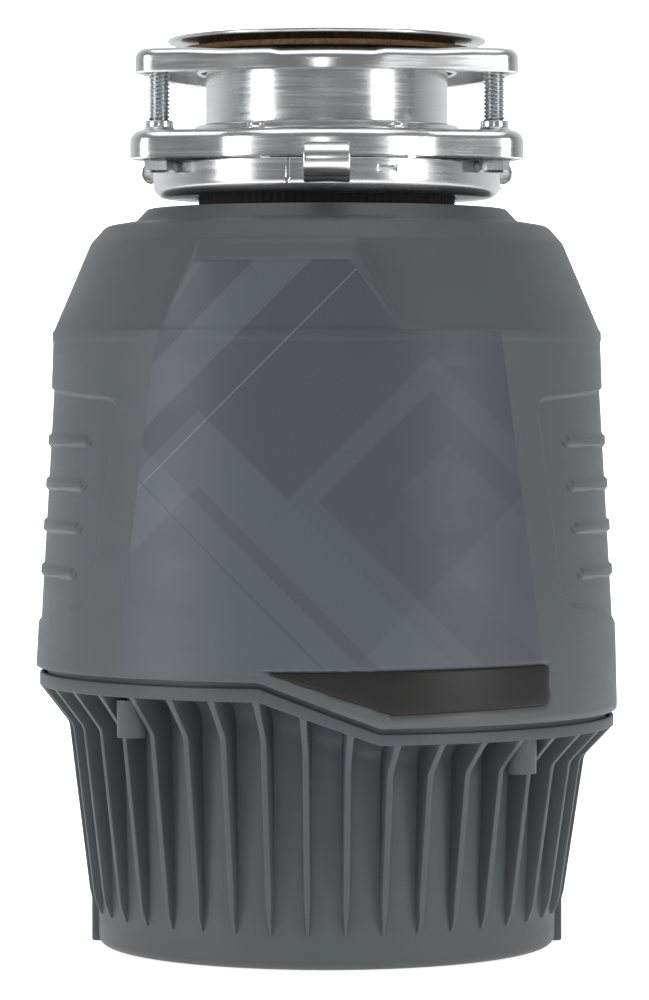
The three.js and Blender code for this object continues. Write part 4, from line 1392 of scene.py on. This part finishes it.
# ------------------------------------------------------------------ sink mount
@dataclass
class SinkMount:
    """The polished steel mount: flange, gaskets, back-up flange, rings, screws and guard."""

    wardrobe: Wardrobe
    circle: float = 68.0
    places: tuple[tuple[str, float], ...] = (("front_left", -60.0), ("front_right", 60.0), ("rear", 180.0))
    pitch: float = 1.411
    crest: float = 3.88
    thread: float = 0.82
    neck: float = 43.4
    sheet: float = 2.2
    pan_r: float = 62.2
    slot_depth: float = 0.8

    def outline(self, body: float, lobe: float, corner: float, soften: float,
                count: int) -> tuple[Array, Array]:
        """Outline of a disc with three lobes, and its outward directions.

        Each lobe is an arc about its bolt, joined by straight sides to the body disc at the
        corner angle. The line is spread evenly by length and blurred round its loop by a
        Gaussian, which rounds the corners.

        Args:
            body: Radius of the disc.
            lobe: Radius of each lobe.
            corner: Angle from a lobe's middle at which its side meets the disc, in degrees.
            soften: Width of the blur, in millimetres.
            count: Points on the outline.

        Returns:
            Points and unit outward directions, arrays of [x, y] rows.
        """
        c = math.radians(corner)
        start = np.array([body * math.cos(c), body * math.sin(c)])
        reach = math.hypot(self.circle - start[0], start[1])
        lean = math.asin(lobe / reach) + math.atan2(-start[1], self.circle - start[0])
        tangent = lean + math.pi / 2
        lobe_at = np.linspace(-tangent, tangent, 60)
        body_at = np.linspace(c, 2 * math.pi / 3 - c, 80)
        local = np.concatenate([
            np.column_stack([self.circle + lobe * np.cos(lobe_at), lobe * np.sin(lobe_at)]),
            np.column_stack([body * np.cos(body_at), body * np.sin(body_at)])])
        loops = []
        for _, azimuth in self.places:
            a = math.radians(azimuth)
            u = np.array([math.sin(a), -math.cos(a)])
            v = np.array([-u[1], u[0]])
            loops.append(local[:, :1] * u + local[:, 1:] * v)
        line = np.concatenate(loops)
        gap = np.hypot(*(np.roll(line, -1, 0) - line).T)
        run = np.concatenate([[0], np.cumsum(gap)])
        closed = np.concatenate([line, line[:1]])
        fine = 4096
        at = np.arange(fine) / fine * run[-1]
        even = np.interp(at, run, closed[:, 0]) + 1j * np.interp(at, run, closed[:, 1])
        wave = np.fft.fftfreq(fine) * fine / run[-1]
        even = np.fft.ifft(np.fft.fft(even) * np.exp(-2.0 * (math.pi * wave * soften) ** 2))
        even = even[:: fine // count][:count]
        ahead = np.roll(even, -1) - np.roll(even, 1)
        out = ahead / np.abs(ahead) * -1j
        if np.real(np.sum(out * np.conj(even))) < 0:
            out = -out
        return (np.column_stack([even.real, even.imag]), np.column_stack([out.real, out.imag]))

    def stamping(self, outline: tuple[Array, Array], rows: list[tuple[float, float, float, float]]) -> Array:
        """Grid of a pressed shape.

        Args:
            outline: Points and outward directions.
            rows: For each row (how far inside the outline, height, share, circle radius). The
                row is the outline moved inwards, blended by the share towards that circle.

        Returns:
            Grid of rows x points x 3.
        """
        line, out = outline
        inward, z, share, radius = (np.array(v)[:, None, None] for v in zip(*rows))
        unit = line / np.hypot(*line.T)[:, None]
        flat = (1 - share) * (line[None] - inward * out[None]) + share * radius * unit[None]
        return np.concatenate([flat, np.broadcast_to(z, flat.shape[:2] + (1,))], axis=-1)

    def sink_flange(self) -> None:
        """Builds the flange that lies in the sink's opening: a thin rolled lip on a straight neck."""
        low, high = box_mm("sink_flange")
        top, lip, n = high[2], high[2] - 1.5, self.neck
        rows = filleted([
            (n - 1.6, low[2], 0.4), (n, low[2], 0.4), (n, lip, 0.8), (high[0] - 0.6, lip, 0.3),
            (high[0], lip + 0.5, 0.4), (high[0] - 0.2, top - 0.2, 0.4), (high[0] - 1.6, top, 0.8),
            (n + 4, top - 0.5, 6), (n - 1.6, top - 6, 4)], 5)
        piece = grid_object("sink_flange_polished", spun(rows, full_turn(192)))
        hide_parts("sink_flange")
        self.wardrobe.dress(piece, Slot.POLISHED)

    def gaskets(self) -> None:
        """Builds the fibre ring under the sink and the ridged rubber skirt under the mount."""
        low, high = box_mm("fiber_gasket")
        rows = filleted([(self.neck + 0.7, low[2], 0.3), (high[0], low[2], 0.5), (high[0], high[2], 0.5),
                         (self.neck + 0.7, high[2], 0.3)], 4)
        ring = grid_object("fibre_ring", spun(rows, full_turn(128)))
        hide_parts("fiber_gasket")
        self.wardrobe.dress(ring, Slot.FIBRE)
        low, high = box_mm("mounting_gasket")
        skirt = 46.0
        rows = filleted([
            (42.4, low[2] + 0.2, 0), (skirt - 0.5, low[2] + 0.2, 0.3), (skirt, low[2] + 1, 0.6),
            (skirt, low[2] + 6.5, 0), (high[0], low[2] + 7.2, 0.8), (high[0], high[2], 0.8),
            (40.2, high[2], 0.5), (40.2, low[2] + 8.9, 0), (high[0] - 1.7, low[2] + 8.9, 0),
            (high[0] - 1.7, low[2] + 8.2, 0), (42.4, low[2] + 8.2, 0)], 4)
        columns = full_turn(480)
        ridge = 0.5 * (0.5 + 0.5 * np.cos(columns * 96.0)) ** 0.7
        grid = spun(rows, columns)
        outer = (rows[:, 0] > skirt - 1.0) & (rows[:, 0] < skirt + 0.5) & (rows[:, 1] < low[2] + 6.6)
        grow = 1.0 + (ridge[None] - 0.5) / skirt * outer[:, None]
        grid[..., :2] *= grow[..., None]
        skirt_piece = grid_object("ridged_gasket", grid)
        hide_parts("mounting_gasket")
        self.wardrobe.dress(skirt_piece, Slot.RUBBER)

    def pressing(self, foot: float, top: float, bend: float, middle: Array) -> list[tuple[float, ...]]:
        """Rows of a pressed plate with a turned-down rim, for stamping.

        They run up the rim's outside, over its quarter-round bend, through the middle part
        that stands round the neck, and back down inside the rim.

        Args:
            foot: Height of the rim's lower edge.
            top: Height of the plate's upper face.
            bend: Outer radius of the bend.
            middle: Profile of the middle part, [radius, height] rows.

        Returns:
            For each row: how far inside the outline, height, share and circle radius.
        """
        wall, turns = self.sheet, np.radians(np.linspace(0, 90, 8))[1:]
        inner = bend - wall
        rows = [(0.0, foot + 0.5, 0, 1), (0.0, top - bend, 0, 1)]
        rows += [(bend * (1 - math.cos(v)), top - bend + bend * math.sin(v), 0, 1) for v in turns]
        rows += [(bend, float(z), 1.0, float(r)) for r, z in middle]
        rows += [(bend, top - wall, 0, 1)]
        rows += [(wall + inner * (1 - math.sin(v)), top - wall - inner * (1 - math.cos(v)), 0, 1)
                 for v in turns]
        return rows + [(wall, foot + 0.5, 0, 1), (wall - 0.5, foot, 0, 1), (0.5, foot, 0, 1)]

    def backup_flange(self) -> None:
        """Builds the back-up flange: a pressed plate with a rolled edge and a hem round the neck."""
        low, high = box_mm("backup_flange")
        top, foot, bend, body, lobe = high[2], low[2], 3.6, 60.0, 8.5
        corner = math.degrees(math.acos((body - lobe) / self.circle))
        hem = filleted([(50.0, top, 0), (45.0, top, 1.6), (45.0, foot + 1.9, 0.5), (46.9, foot + 1.9, 0.9),
                        (46.9, top - 3.2, 0.8), (50.0, top - self.sheet, 0)], 5, closed=False)
        outline = self.outline(body, lobe, corner, 1.2, 256)
        grid = self.stamping(outline, self.pressing(foot, top, bend, hem))
        x, y, z = np.moveaxis(grid, -1, 0)
        outer = step(49.0, 57.0, np.hypot(x, y)) * step(foot + 3.0, top - bend, z)
        sag = 0.75 * step(20.5, 16.0, np.abs(x)) + 0.75 * step(52.0, 34.0, np.abs(x))
        grid[..., 2] -= outer * (sag * (y < 0))
        piece = grid_object("backup_flange_pressed", grid)
        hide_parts("backup_flange")
        self.wardrobe.dress(piece, Slot.POLISHED, "backup_plate")

    def mounting_ring(self) -> None:
        """Builds the upper mounting ring: a pressed three-lobed plate, its neck bead and screw collars."""
        high = box_mm("mounting_ring")[1]
        top, foot, wall = high[2] - 3.3, high[2] - 13.5, self.sheet
        bead = filleted([(52.0, top, 0), (48.4, top, 1.5), (47.3, high[2], 1.5), (43.9, high[2], 0.9),
                         (43.9, top - wall, 0.5), (52.0, top - wall, 0)], 6, closed=False)
        outline = self.outline(62.5, 10.5, 25.0, 2.2, 256)
        piece = grid_object("mounting_ring_pressed",
                            self.stamping(outline, self.pressing(foot, top, 4.2, bead)))
        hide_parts("mounting_ring")
        self.wardrobe.dress(piece, Slot.POLISHED)
        for place, azimuth in self.places:
            collar = filleted([(4.3, top - 1.5, 0), (7.0, top - 0.4, 0), (6.0, top + 0.1, 1.2),
                               (4.95, top + 0.9, 0.8), (4.95, high[2], 0.5), (4.3, high[2], 0.2)], 4)
            grid = spun(collar, full_turn(48)) + np.array([0.0, -self.circle, 0.0])
            self.wardrobe.dress(grid_object(f"collar_{place}", swung(grid, azimuth)), Slot.POLISHED)
        for side, name in ((-1, "left"), (1, "right")):
            peg = filleted([(AXIS, top - 1, 0), (4.2, top - 0.3, 0.8), (3.3, top + 0.8, 0.8),
                            (3.1, top + 2.3, 1.2), (AXIS, top + 2.6, 0)], 5, closed=False)
            grid = spun(peg, full_turn(40)) + np.array([side * 24.6, -49.0, 0.0])
            self.wardrobe.dress(grid_object(f"peg_{name}", grid, rows_close=False), Slot.POLISHED)

    def lock_ring(self) -> None:
        """Builds the twist-lock ring: a rolled pan wall with three curled lugs."""
        low = box_mm("lower_mounting_ring")[0]
        foot, wall, r = low[2], 2.4, self.pan_r
        top = foot + 11.9
        rows = filleted([(47.2, foot, 0.5), (r, foot, 4.6), (r, top, 0.6), (r - wall, top, 0.6),
                         (r - wall, foot + 1.6, 3.4), (47.2, foot + 1.6, 0.5)], 7)
        rows = self.refined(rows, foot + 4.0, top - 0.8, 14)
        columns = np.radians(np.concatenate([np.arange(-45, 45, 0.4), np.arange(45, 315, 1.5)]))
        grid = spun(rows, columns)
        x, z = r * np.sin(columns)[None], rows[:, 1:]
        face = (rows[:, :1] > r - 0.6) & (np.cos(columns)[None] > 0.5)
        long_slot = step(0.25, -0.25, np.abs(z - foot - 8.2) - 0.6) * step(0.3, -0.3, np.abs(x - 21.0) - 3.0)
        notch = step(0.25, -0.25, np.abs(x + 13.6) - 0.45) * step(foot + 3.4, foot + 3.9, z + 0 * x)
        grow = 1.0 - self.slot_depth * (long_slot + notch) * face / r
        grid[..., :2] *= grow[..., None]
        piece = grid_object("lock_ring_pan", grid)
        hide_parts("lower_mounting_ring")
        self.wardrobe.dress(piece, Slot.POLISHED, "lock_ring")
        for i, azimuth in enumerate((0.0, 120.0, 240.0)):
            self.lug(i + 1, azimuth, foot + 10.6)
        for name, x0, height in (("right", 29.6, 3.0), ("left", -21.4, 2.2)):
            corners = block_corners((-1.9, -1.1, 0.0), (1.9, 1.1, height)) + [0, -(r - 1.1), top - 0.4]
            block = new_object(f"lock_step_{name}", swung(corners, math.degrees(math.asin(x0 / r))),
                               [BLOCK_FACES], 40.0)
            bevelled(block, 0.5).data.shade_smooth()
            self.wardrobe.dress(block, Slot.POLISHED, "lock_ring")

    def refined(self, rows: Array, low: float, high: float, count: int) -> Array:
        """Adds evenly spaced rows to the long upright sides of a profile.

        Args:
            rows: The profile, [radius, height] rows.
            low: Height where such a side begins, at most.
            high: Height where it ends, at least.
            count: Rows on each such side.

        Returns:
            The longer profile.
        """
        made = [rows[:1]]
        for before, after in zip(rows[:-1], rows[1:]):
            if after[1] - before[1] > (high - low) * 0.5:
                t = np.linspace(0, 1, count)[1:-1, None]
                made.append(before + t * (after - before))
            made.append(after[None])
        return np.concatenate(made)

    def lug(self, number: int, azimuth: float, height: float) -> None:
        """Builds one lug: sheet metal curled into a tube, with a tail that joins the pan's wall.

        The curl is a thick arc: the middle line runs straight off the wall, then round an angle
        of 298 degrees, and the sheet stands half its thickness to either side.

        Args:
            number: The lug's number, from 1.
            azimuth: Where it stands, in degrees.
            height: Height of the curl's axis.
        """
        out, bore, half = 6.0, 3.7, 8.0
        mid, thick = (out + bore) / 2, (out - bore) / 2
        centre = np.array([-69.6, height])
        turn = np.radians(np.linspace(-62.0, -360.0, 40))
        curl = centre + mid * np.column_stack([np.sin(turn + math.pi / 2), np.cos(turn + math.pi / 2)])
        tail = np.array([(-60.9, height - 6.6), (-61.6, height - 6.3), (-63.0, height - 5.6)])
        ease = np.linspace(0, 1, 6)[1:-1, None]
        line = np.concatenate([tail, tail[-1] + ease * (curl[0] - tail[-1]), curl])
        ahead = np.gradient(line, axis=0)
        side = np.column_stack([-ahead[:, 1], ahead[:, 0]]) / np.hypot(*ahead.T)[:, None] * thick
        loop = np.concatenate([line + side, (line - side)[::-1]])
        x = np.array([-half, -half + 0.3, -half + 0.9, half - 0.9, half - 0.3, half])
        shrink = np.array([0.3, 0.08, 0.0, 0.0, 0.08, 0.3])
        middle = np.concatenate([line, line[::-1]])
        rows = loop[None] + shrink[:, None, None] * (middle - loop)[None]
        grid = np.concatenate([np.broadcast_to(x[:, None, None], rows.shape[:2] + (1,)), rows], axis=-1)
        points = swung(grid, azimuth).reshape(-1, 3)
        count, n = len(loop), len(line)
        index = np.arange(len(points)).reshape(len(x), count)
        quads = np.stack([index[:-1], np.roll(index[:-1], -1, 1), np.roll(index[1:], -1, 1), index[1:]], -1)
        near = np.arange(n - 1)
        strip = np.stack([near, near + 1, count - 2 - near, count - 1 - near], -1)
        faces = np.concatenate([quads.reshape(-1, 4), strip[:, ::-1], strip + index[-1, 0]])
        piece = new_object(f"lock_lug_{number}", points, [faces], 40.0)
        self.wardrobe.dress(piece, Slot.POLISHED, "lock_ring")

    def screws(self) -> None:
        """Builds the three mounting screws.

        The thread's radius is the crest radius less its depth times a triangle wave of
        height / pitch - azimuth / turn.
        """
        offset = np.array([0, -self.circle, 0])
        for place, azimuth in self.places:
            low, high = box_mm(f"mounting_screw_{place}")
            head = low[2] + 5.0
            z = np.concatenate([[head - 0.1], np.arange(head + 0.2, high[2] - 0.2, self.pitch / 8), [high[2]]])
            a = full_turn(32)
            phase = (z[:, None] / self.pitch - a[None] / (2 * math.pi)) % 1.0
            tooth = np.clip(np.abs(phase - 0.5) * 2.4 - 0.1, 0.0, 1.0)
            ends = step(high[2] + 0.2, high[2] - 1.6, z)[:, None] * step(head, head + 0.8, z)[:, None]
            radius = self.crest - self.thread * (1 - (1 - tooth) * ends)
            radius[-1] *= 0.72
            height = np.broadcast_to(z[:, None], radius.shape)
            grid = np.stack([radius * np.sin(a), -radius * np.cos(a), height], -1)
            shank = grid_object(f"screw_thread_{place}", swung(grid + offset, azimuth), rows_close=False,
                                sharp=50.0)
            b = full_turn(96)
            flat = 4.62 / np.cos((b + math.pi / 6) % (math.pi / 3) - math.pi / 6)
            rows = []
            for share, height, hexed in ((0.02, head - 4.0, 0), (0.4, head - 4.0, 0), (0.9, head - 4.7, 0.5),
                                         (1.0, head - 4.2, 1), (1.0, head, 1)):
                reach = (1 - hexed) * (4.6 * share) + hexed * flat * share
                rows.append(np.stack([reach * np.sin(b), -reach * np.cos(b), np.full(len(b), height)], -1))
            cap = grid_object(f"screw_head_{place}", swung(np.array(rows) + offset, azimuth),
                              rows_close=False, sharp=30.0)
            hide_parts(f"mounting_screw_{place}")
            for piece in (shank, cap):
                self.wardrobe.dress(piece, Slot.ZINC, f"screw_{place}")

    def guard(self) -> None:
        """Builds the splash guard: a rubber sleeve with six hanging flaps that sag to the middle."""
        low, high = box_mm("splash_guard")
        top, r = high[2], 39.6
        rows = filleted([(r - 2, low[2], 0.4), (r, low[2], 0.4), (r, top - 1.7, 0.3), (high[0], top - 1.7, 0.5),
                         (high[0], top, 0.5), (r - 2, top, 0.6), (r - 2.2, top - 5, 0)], 4)
        sleeve = grid_object("guard_sleeve", spun(rows, full_turn(96)))
        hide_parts("splash_guard")
        self.wardrobe.dress(sleeve, Slot.RUBBER, "guard")
        reach = np.linspace(r - 1.6, 10.8, 14)
        share = (reach[0] - reach) / (reach[0] - reach[-1])
        upper = top - 4.4 - 6.6 * share ** 0.8
        ring = np.concatenate([np.column_stack([reach, upper]), np.column_stack([reach, upper - 1.9])[::-1]])
        for i in range(6):
            edge = np.linspace(-1, 1, 15)[None]
            half = math.radians(30.0) - 0.75 / ring[:, :1]
            a = half * edge + math.radians(60.0 * i + 30.0)
            sag = 0.9 * (1 - edge ** 2) * np.interp(ring[:, :1], [reach[-1], reach[0]], [1.0, 0.0])
            z = ring[:, 1:] + sag - 0.9
            grid = np.stack([ring[:, :1] * np.sin(a), -ring[:, :1] * np.cos(a), z], -1)
            flap = grid_object(f"guard_flap_{i + 1}", grid, columns_close=False)
            self.wardrobe.dress(flap, Slot.RUBBER, "guard")

    def build(self) -> None:
        """Builds every part of the mount."""
        self.sink_flange()
        self.gaskets()
        self.backup_flange()
        self.mounting_ring()
        self.lock_ring()
        self.screws()
        self.guard()


# ------------------------------------------------------------------ plumbing at the back
@dataclass
class Outlets:
    """The cast drain chamber with its outlet, and the dishwasher inlet."""

    wardrobe: Wardrobe
    bore: float = 15.5
    chamber_floor: float = 117.4
    ear_at: float = 30.0
    ear_bore: float = 3.2
    ear_half: float = 7.5
    ear_reach: float = 37.5
    plate_r: float = 20.5

    def outlet_plate(self, height: float) -> Array:
        """Outline of the outlet's plate: two ears joined to a round middle.

        The reach at each angle is the greater of the middle's radius and the ear's half height
        over the sine, and its high frequencies are damped by a Gaussian.

        Args:
            height: Height of the outlet's axis.

        Returns:
            Array of [x, z] rows.
        """
        count, damping, least = 180, 34.0, 0.2
        a = full_turn(count)
        ears = np.minimum(self.ear_reach, self.ear_half / np.maximum(np.abs(np.sin(a)), least))
        reach = np.maximum(self.plate_r, np.where(np.abs(np.cos(a)) > least, ears, 0.0))
        damped = np.fft.fft(reach) * np.exp(-(np.fft.fftfreq(count) * count / damping) ** 2)
        smooth = np.fft.ifft(damped).real
        return np.column_stack([smooth * np.cos(a), height + smooth * np.sin(a)])

    def chamber(self) -> None:
        """Builds the drain chamber: a turned casting, drilled through for its outlet."""
        high = box_mm("upper_end_bell")[1]
        face, top, floor = high[1], high[2], self.chamber_floor
        height = floor + 4 + 0.8 + self.bore
        drum = grid_object("drain_chamber_casting", spun(self.chamber_rows(floor, top), full_turn(120)))
        hole = filleted([(AXIS, 60.0, 0), (self.bore, 60.0, 0), (self.bore, 100.0, 0), (AXIS, 100.0, 0)],
                        2, closed=False)
        tool = grid_object("drill", along_y(spun(hole, full_turn(64)), height), rows_close=False)
        drum = drilled(drum, tool)
        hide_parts("upper_end_bell")
        self.wardrobe.dress(drum, Slot.CAST)
        pipe = filleted([
            (self.bore, 78.0, 0), (19.0, 78.0, 0), (19.0, face - 4.0, 1.5), (20.0, face - 3.0, 0.5),
            (20.0, face - 0.2, 0.3), (self.bore, face - 0.2, 0.7)], 5)
        spout = grid_object("outlet_spout", along_y(spun(pipe, full_turn(96)), height))
        self.wardrobe.dress(spout, Slot.CAST)
        loops = [self.outlet_plate(height), ring_of(self.bore + 0.05, 64, 0, height)]
        loops += [ring_of(self.ear_bore, 28, side * self.ear_at, height) for side in (-1, 1)]
        plate = plate_object("outlet_plate", loops, face - 4.0, face)
        turned = np.empty(len(plate.data.vertices) * 3, np.float32)
        plate.data.vertices.foreach_get("co", turned)
        plate.data.vertices.foreach_set("co", turned.reshape(-1, 3)[:, [0, 2, 1]].ravel())
        plate.data.flip_normals()
        self.wardrobe.dress(smoothed(bevelled(plate, 0.5), 45), Slot.CAST)

    def chamber_rows(self, floor: float, top: float) -> Array:
        """Profile of the drain chamber's casting.

        Args:
            floor: Height of the underside of its floor.
            top: Height of its upper flange.

        Returns:
            Array of [radius, height] rows.
        """
        return filleted([
            (11.4, floor - 12, 0.4), (18, floor - 12, 1), (18, floor, 2), (65.6, floor, 0.4),
            (65.6, floor - 15.2, 0.4), (69.4, floor - 15.2, 0.4), (69.4, floor, 0.4), (82, floor, 3),
            (82, top - 3.5, 1.0), (86, top - 3.5, 0.8), (86, top, 0.8), (79, top, 1), (79, floor + 4, 4),
            (18, floor + 6, 4), (18, floor + 11, 1), (13.6, floor + 11, 0.5), (13.6, floor + 2, 0.5),
            (8.2, floor + 2, 0.3), (8.2, floor - 1, 0.3), (11.4, floor - 1, 0.2)], 4)

    def inlet(self) -> None:
        """Builds the dishwasher inlet: a flanged pipe with two hose barbs."""
        low, high = box_mm("dishwasher_inlet")
        height, start, face = (low[2] + high[2]) / 2, low[1], high[1]
        rows = filleted([
            (9.0, start, 0.2), (15.0, start, 0.4), (15.0, start + 2, 0.8), (11.0, start + 2, 1.5),
            (11.0, face - 12, 0.2), (11.8, face - 12, 0.3), (11.0, face - 7.5, 0.2), (11.0, face - 6.5, 0.2),
            (11.8, face - 6.5, 0.3), (10.6, face - 1.0, 0.3), (10.4, face, 0.4), (9.0, face, 0.5)], 4)
        pipe = grid_object("dishwasher_spigot", along_y(spun(rows, full_turn(80)), height))
        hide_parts("dishwasher_inlet")
        self.wardrobe.dress(pipe, Slot.BLACK)

    def build(self) -> None:
        """Builds both connections."""
        self.chamber()
        self.inlet()


# ------------------------------------------------------------------ studio
@dataclass
class Studio:
    """The pale floor and backdrop, the soft lights and the camera."""

    distance: float = 1.56
    eye: float = 0.1995
    lens: float = 156.0
    sensor: float = 36.0
    tilt: float = 88.52
    roll: float = 0.03
    floor_r: float = 820.0
    floor_top: float = -0.4
    floor_thick: float = 8.0

    def floor(self) -> None:
        """Builds the floor: a pale disc just under the base, with a rounded rim."""
        top, low, r = self.floor_top, self.floor_top - self.floor_thick, self.floor_r
        rim = filleted([(AXIS, low, 0), (r, low, 3), (r, top, 3), (AXIS, top, 0)], 4, closed=False)
        disc = grid_object("floor", spun(rim, full_turn(96)), rows_close=False)
        g = Graph("pale_floor")
        tone = g.blend(g.span(g.noise(3.0, 3.0), 0.3, 0.7, 0.0, 1.0), (0.9, 0.9, 0.9, 1), (0.93, 0.93, 0.93, 1))
        g.shader.inputs["Emission Color"].default_value = (1, 1, 1, 1)
        g.shader.inputs["Emission Strength"].default_value = 0.8
        disc.data.materials.append(g.finish(tone, 0.9, None, 0.0, Specular_IOR_Level=0.0))

    def lamp(self, name: str, at: tuple[float, float, float], size: tuple[float, float], power: float,
             aim: tuple[float, float, float] = (0.0, 0.0, 0.18)) -> None:
        """Adds a rectangular soft light that faces a point.

        Args:
            name: The light's name.
            at: Where it stands, in metres.
            size: Its width and height, in metres.
            power: Its power in watts.
            aim: The point that it faces, in metres.
        """
        data = bpy.data.lights.new(name, "AREA")
        data.shape = "RECTANGLE"
        data.size, data.size_y = size
        data.energy = power
        lamp = bpy.data.objects.new(name, data)
        lamp.location = at
        lamp.rotation_euler = (Vector(aim) - Vector(at)).to_track_quat("-Z", "Y").to_euler()
        bpy.context.scene.collection.objects.link(lamp)

    def lights(self) -> None:
        """Adds the soft lights and a pale backdrop that is brightest behind the unit."""
        self.lamp("key_left", (-1.42, -0.72, 0.42), (0.5, 1.1), 9.5)
        self.lamp("key_right", (1.30, -0.95, 0.42), (0.5, 1.1), 8.5)
        self.lamp("top", (0.0, -0.3, 1.6), (1.6, 1.0), 8.0)
        self.lamp("front", (-0.15, -2.3, 0.7), (0.35, 0.5), 1.8)
        world = bpy.data.worlds.new("studio")
        bpy.context.scene.world = world
        world.use_nodes = True
        tree = world.node_tree
        back = tree.nodes["Background"]
        back.inputs[0].default_value = (0.95, 0.97, 1.0, 1.0)
        way = tree.nodes.new("ShaderNodeSeparateXYZ")
        rise = tree.nodes.new("ShaderNodeMapRange")
        for key, number in zip(("From Min", "From Max", "To Min", "To Max"), (-0.1, 0.8, 0.22, 0.85)):
            rise.inputs[key].default_value = number
        paths = tree.nodes.new("ShaderNodeLightPath")
        seen = tree.nodes.new("ShaderNodeMath")
        seen.operation = "MULTIPLY_ADD"
        seen.inputs[1].default_value = 1.2
        tree.links.new(tree.nodes.new("ShaderNodeTexCoord").outputs["Generated"], way.inputs[0])
        tree.links.new(way.outputs["Y"], rise.inputs["Value"])
        tree.links.new(paths.outputs["Is Camera Ray"], seen.inputs[0])
        tree.links.new(rise.outputs[0], seen.inputs[2])
        tree.links.new(seen.outputs[0], back.inputs[1])

    def camera(self) -> None:
        """Adds the camera, level with the casing's crown and tipped slightly down."""
        data = bpy.data.cameras.new("view")
        data.lens, data.sensor_width = self.lens, self.sensor
        data.clip_start, data.clip_end = 0.05, 20.0
        view = bpy.data.objects.new("view", data)
        view.location = (0.0, -self.distance, self.eye)
        view.rotation_euler = (math.radians(self.tilt), 0.0, math.radians(self.roll))
        bpy.context.scene.collection.objects.link(view)
        bpy.context.scene.camera = view

    def build(self) -> None:
        """Builds the whole studio."""
        bpy.context.scene.view_settings.view_transform = "Standard"
        self.floor()
        self.lights()
        self.camera()


def main(loaded: dict) -> None:
    """Builds the pieces in order, dresses the CAD nodes that stay and sets up the studio.

    Args:
        loaded: The loaded frame, with its record and its CAD nodes by name.
    """
    logging.basicConfig(level=logging.INFO, format="%(message)s")
    Studio().build()
    wardrobe = Wardrobe()
    Casing(wardrobe).build()
    SinkMount(wardrobe).build()
    Outlets(wardrobe).build()
    wardrobe.dress_frame(loaded)
    LOG.info("%d new pieces", wardrobe.dressed)


if __name__ == "__main__":
    main(frame)
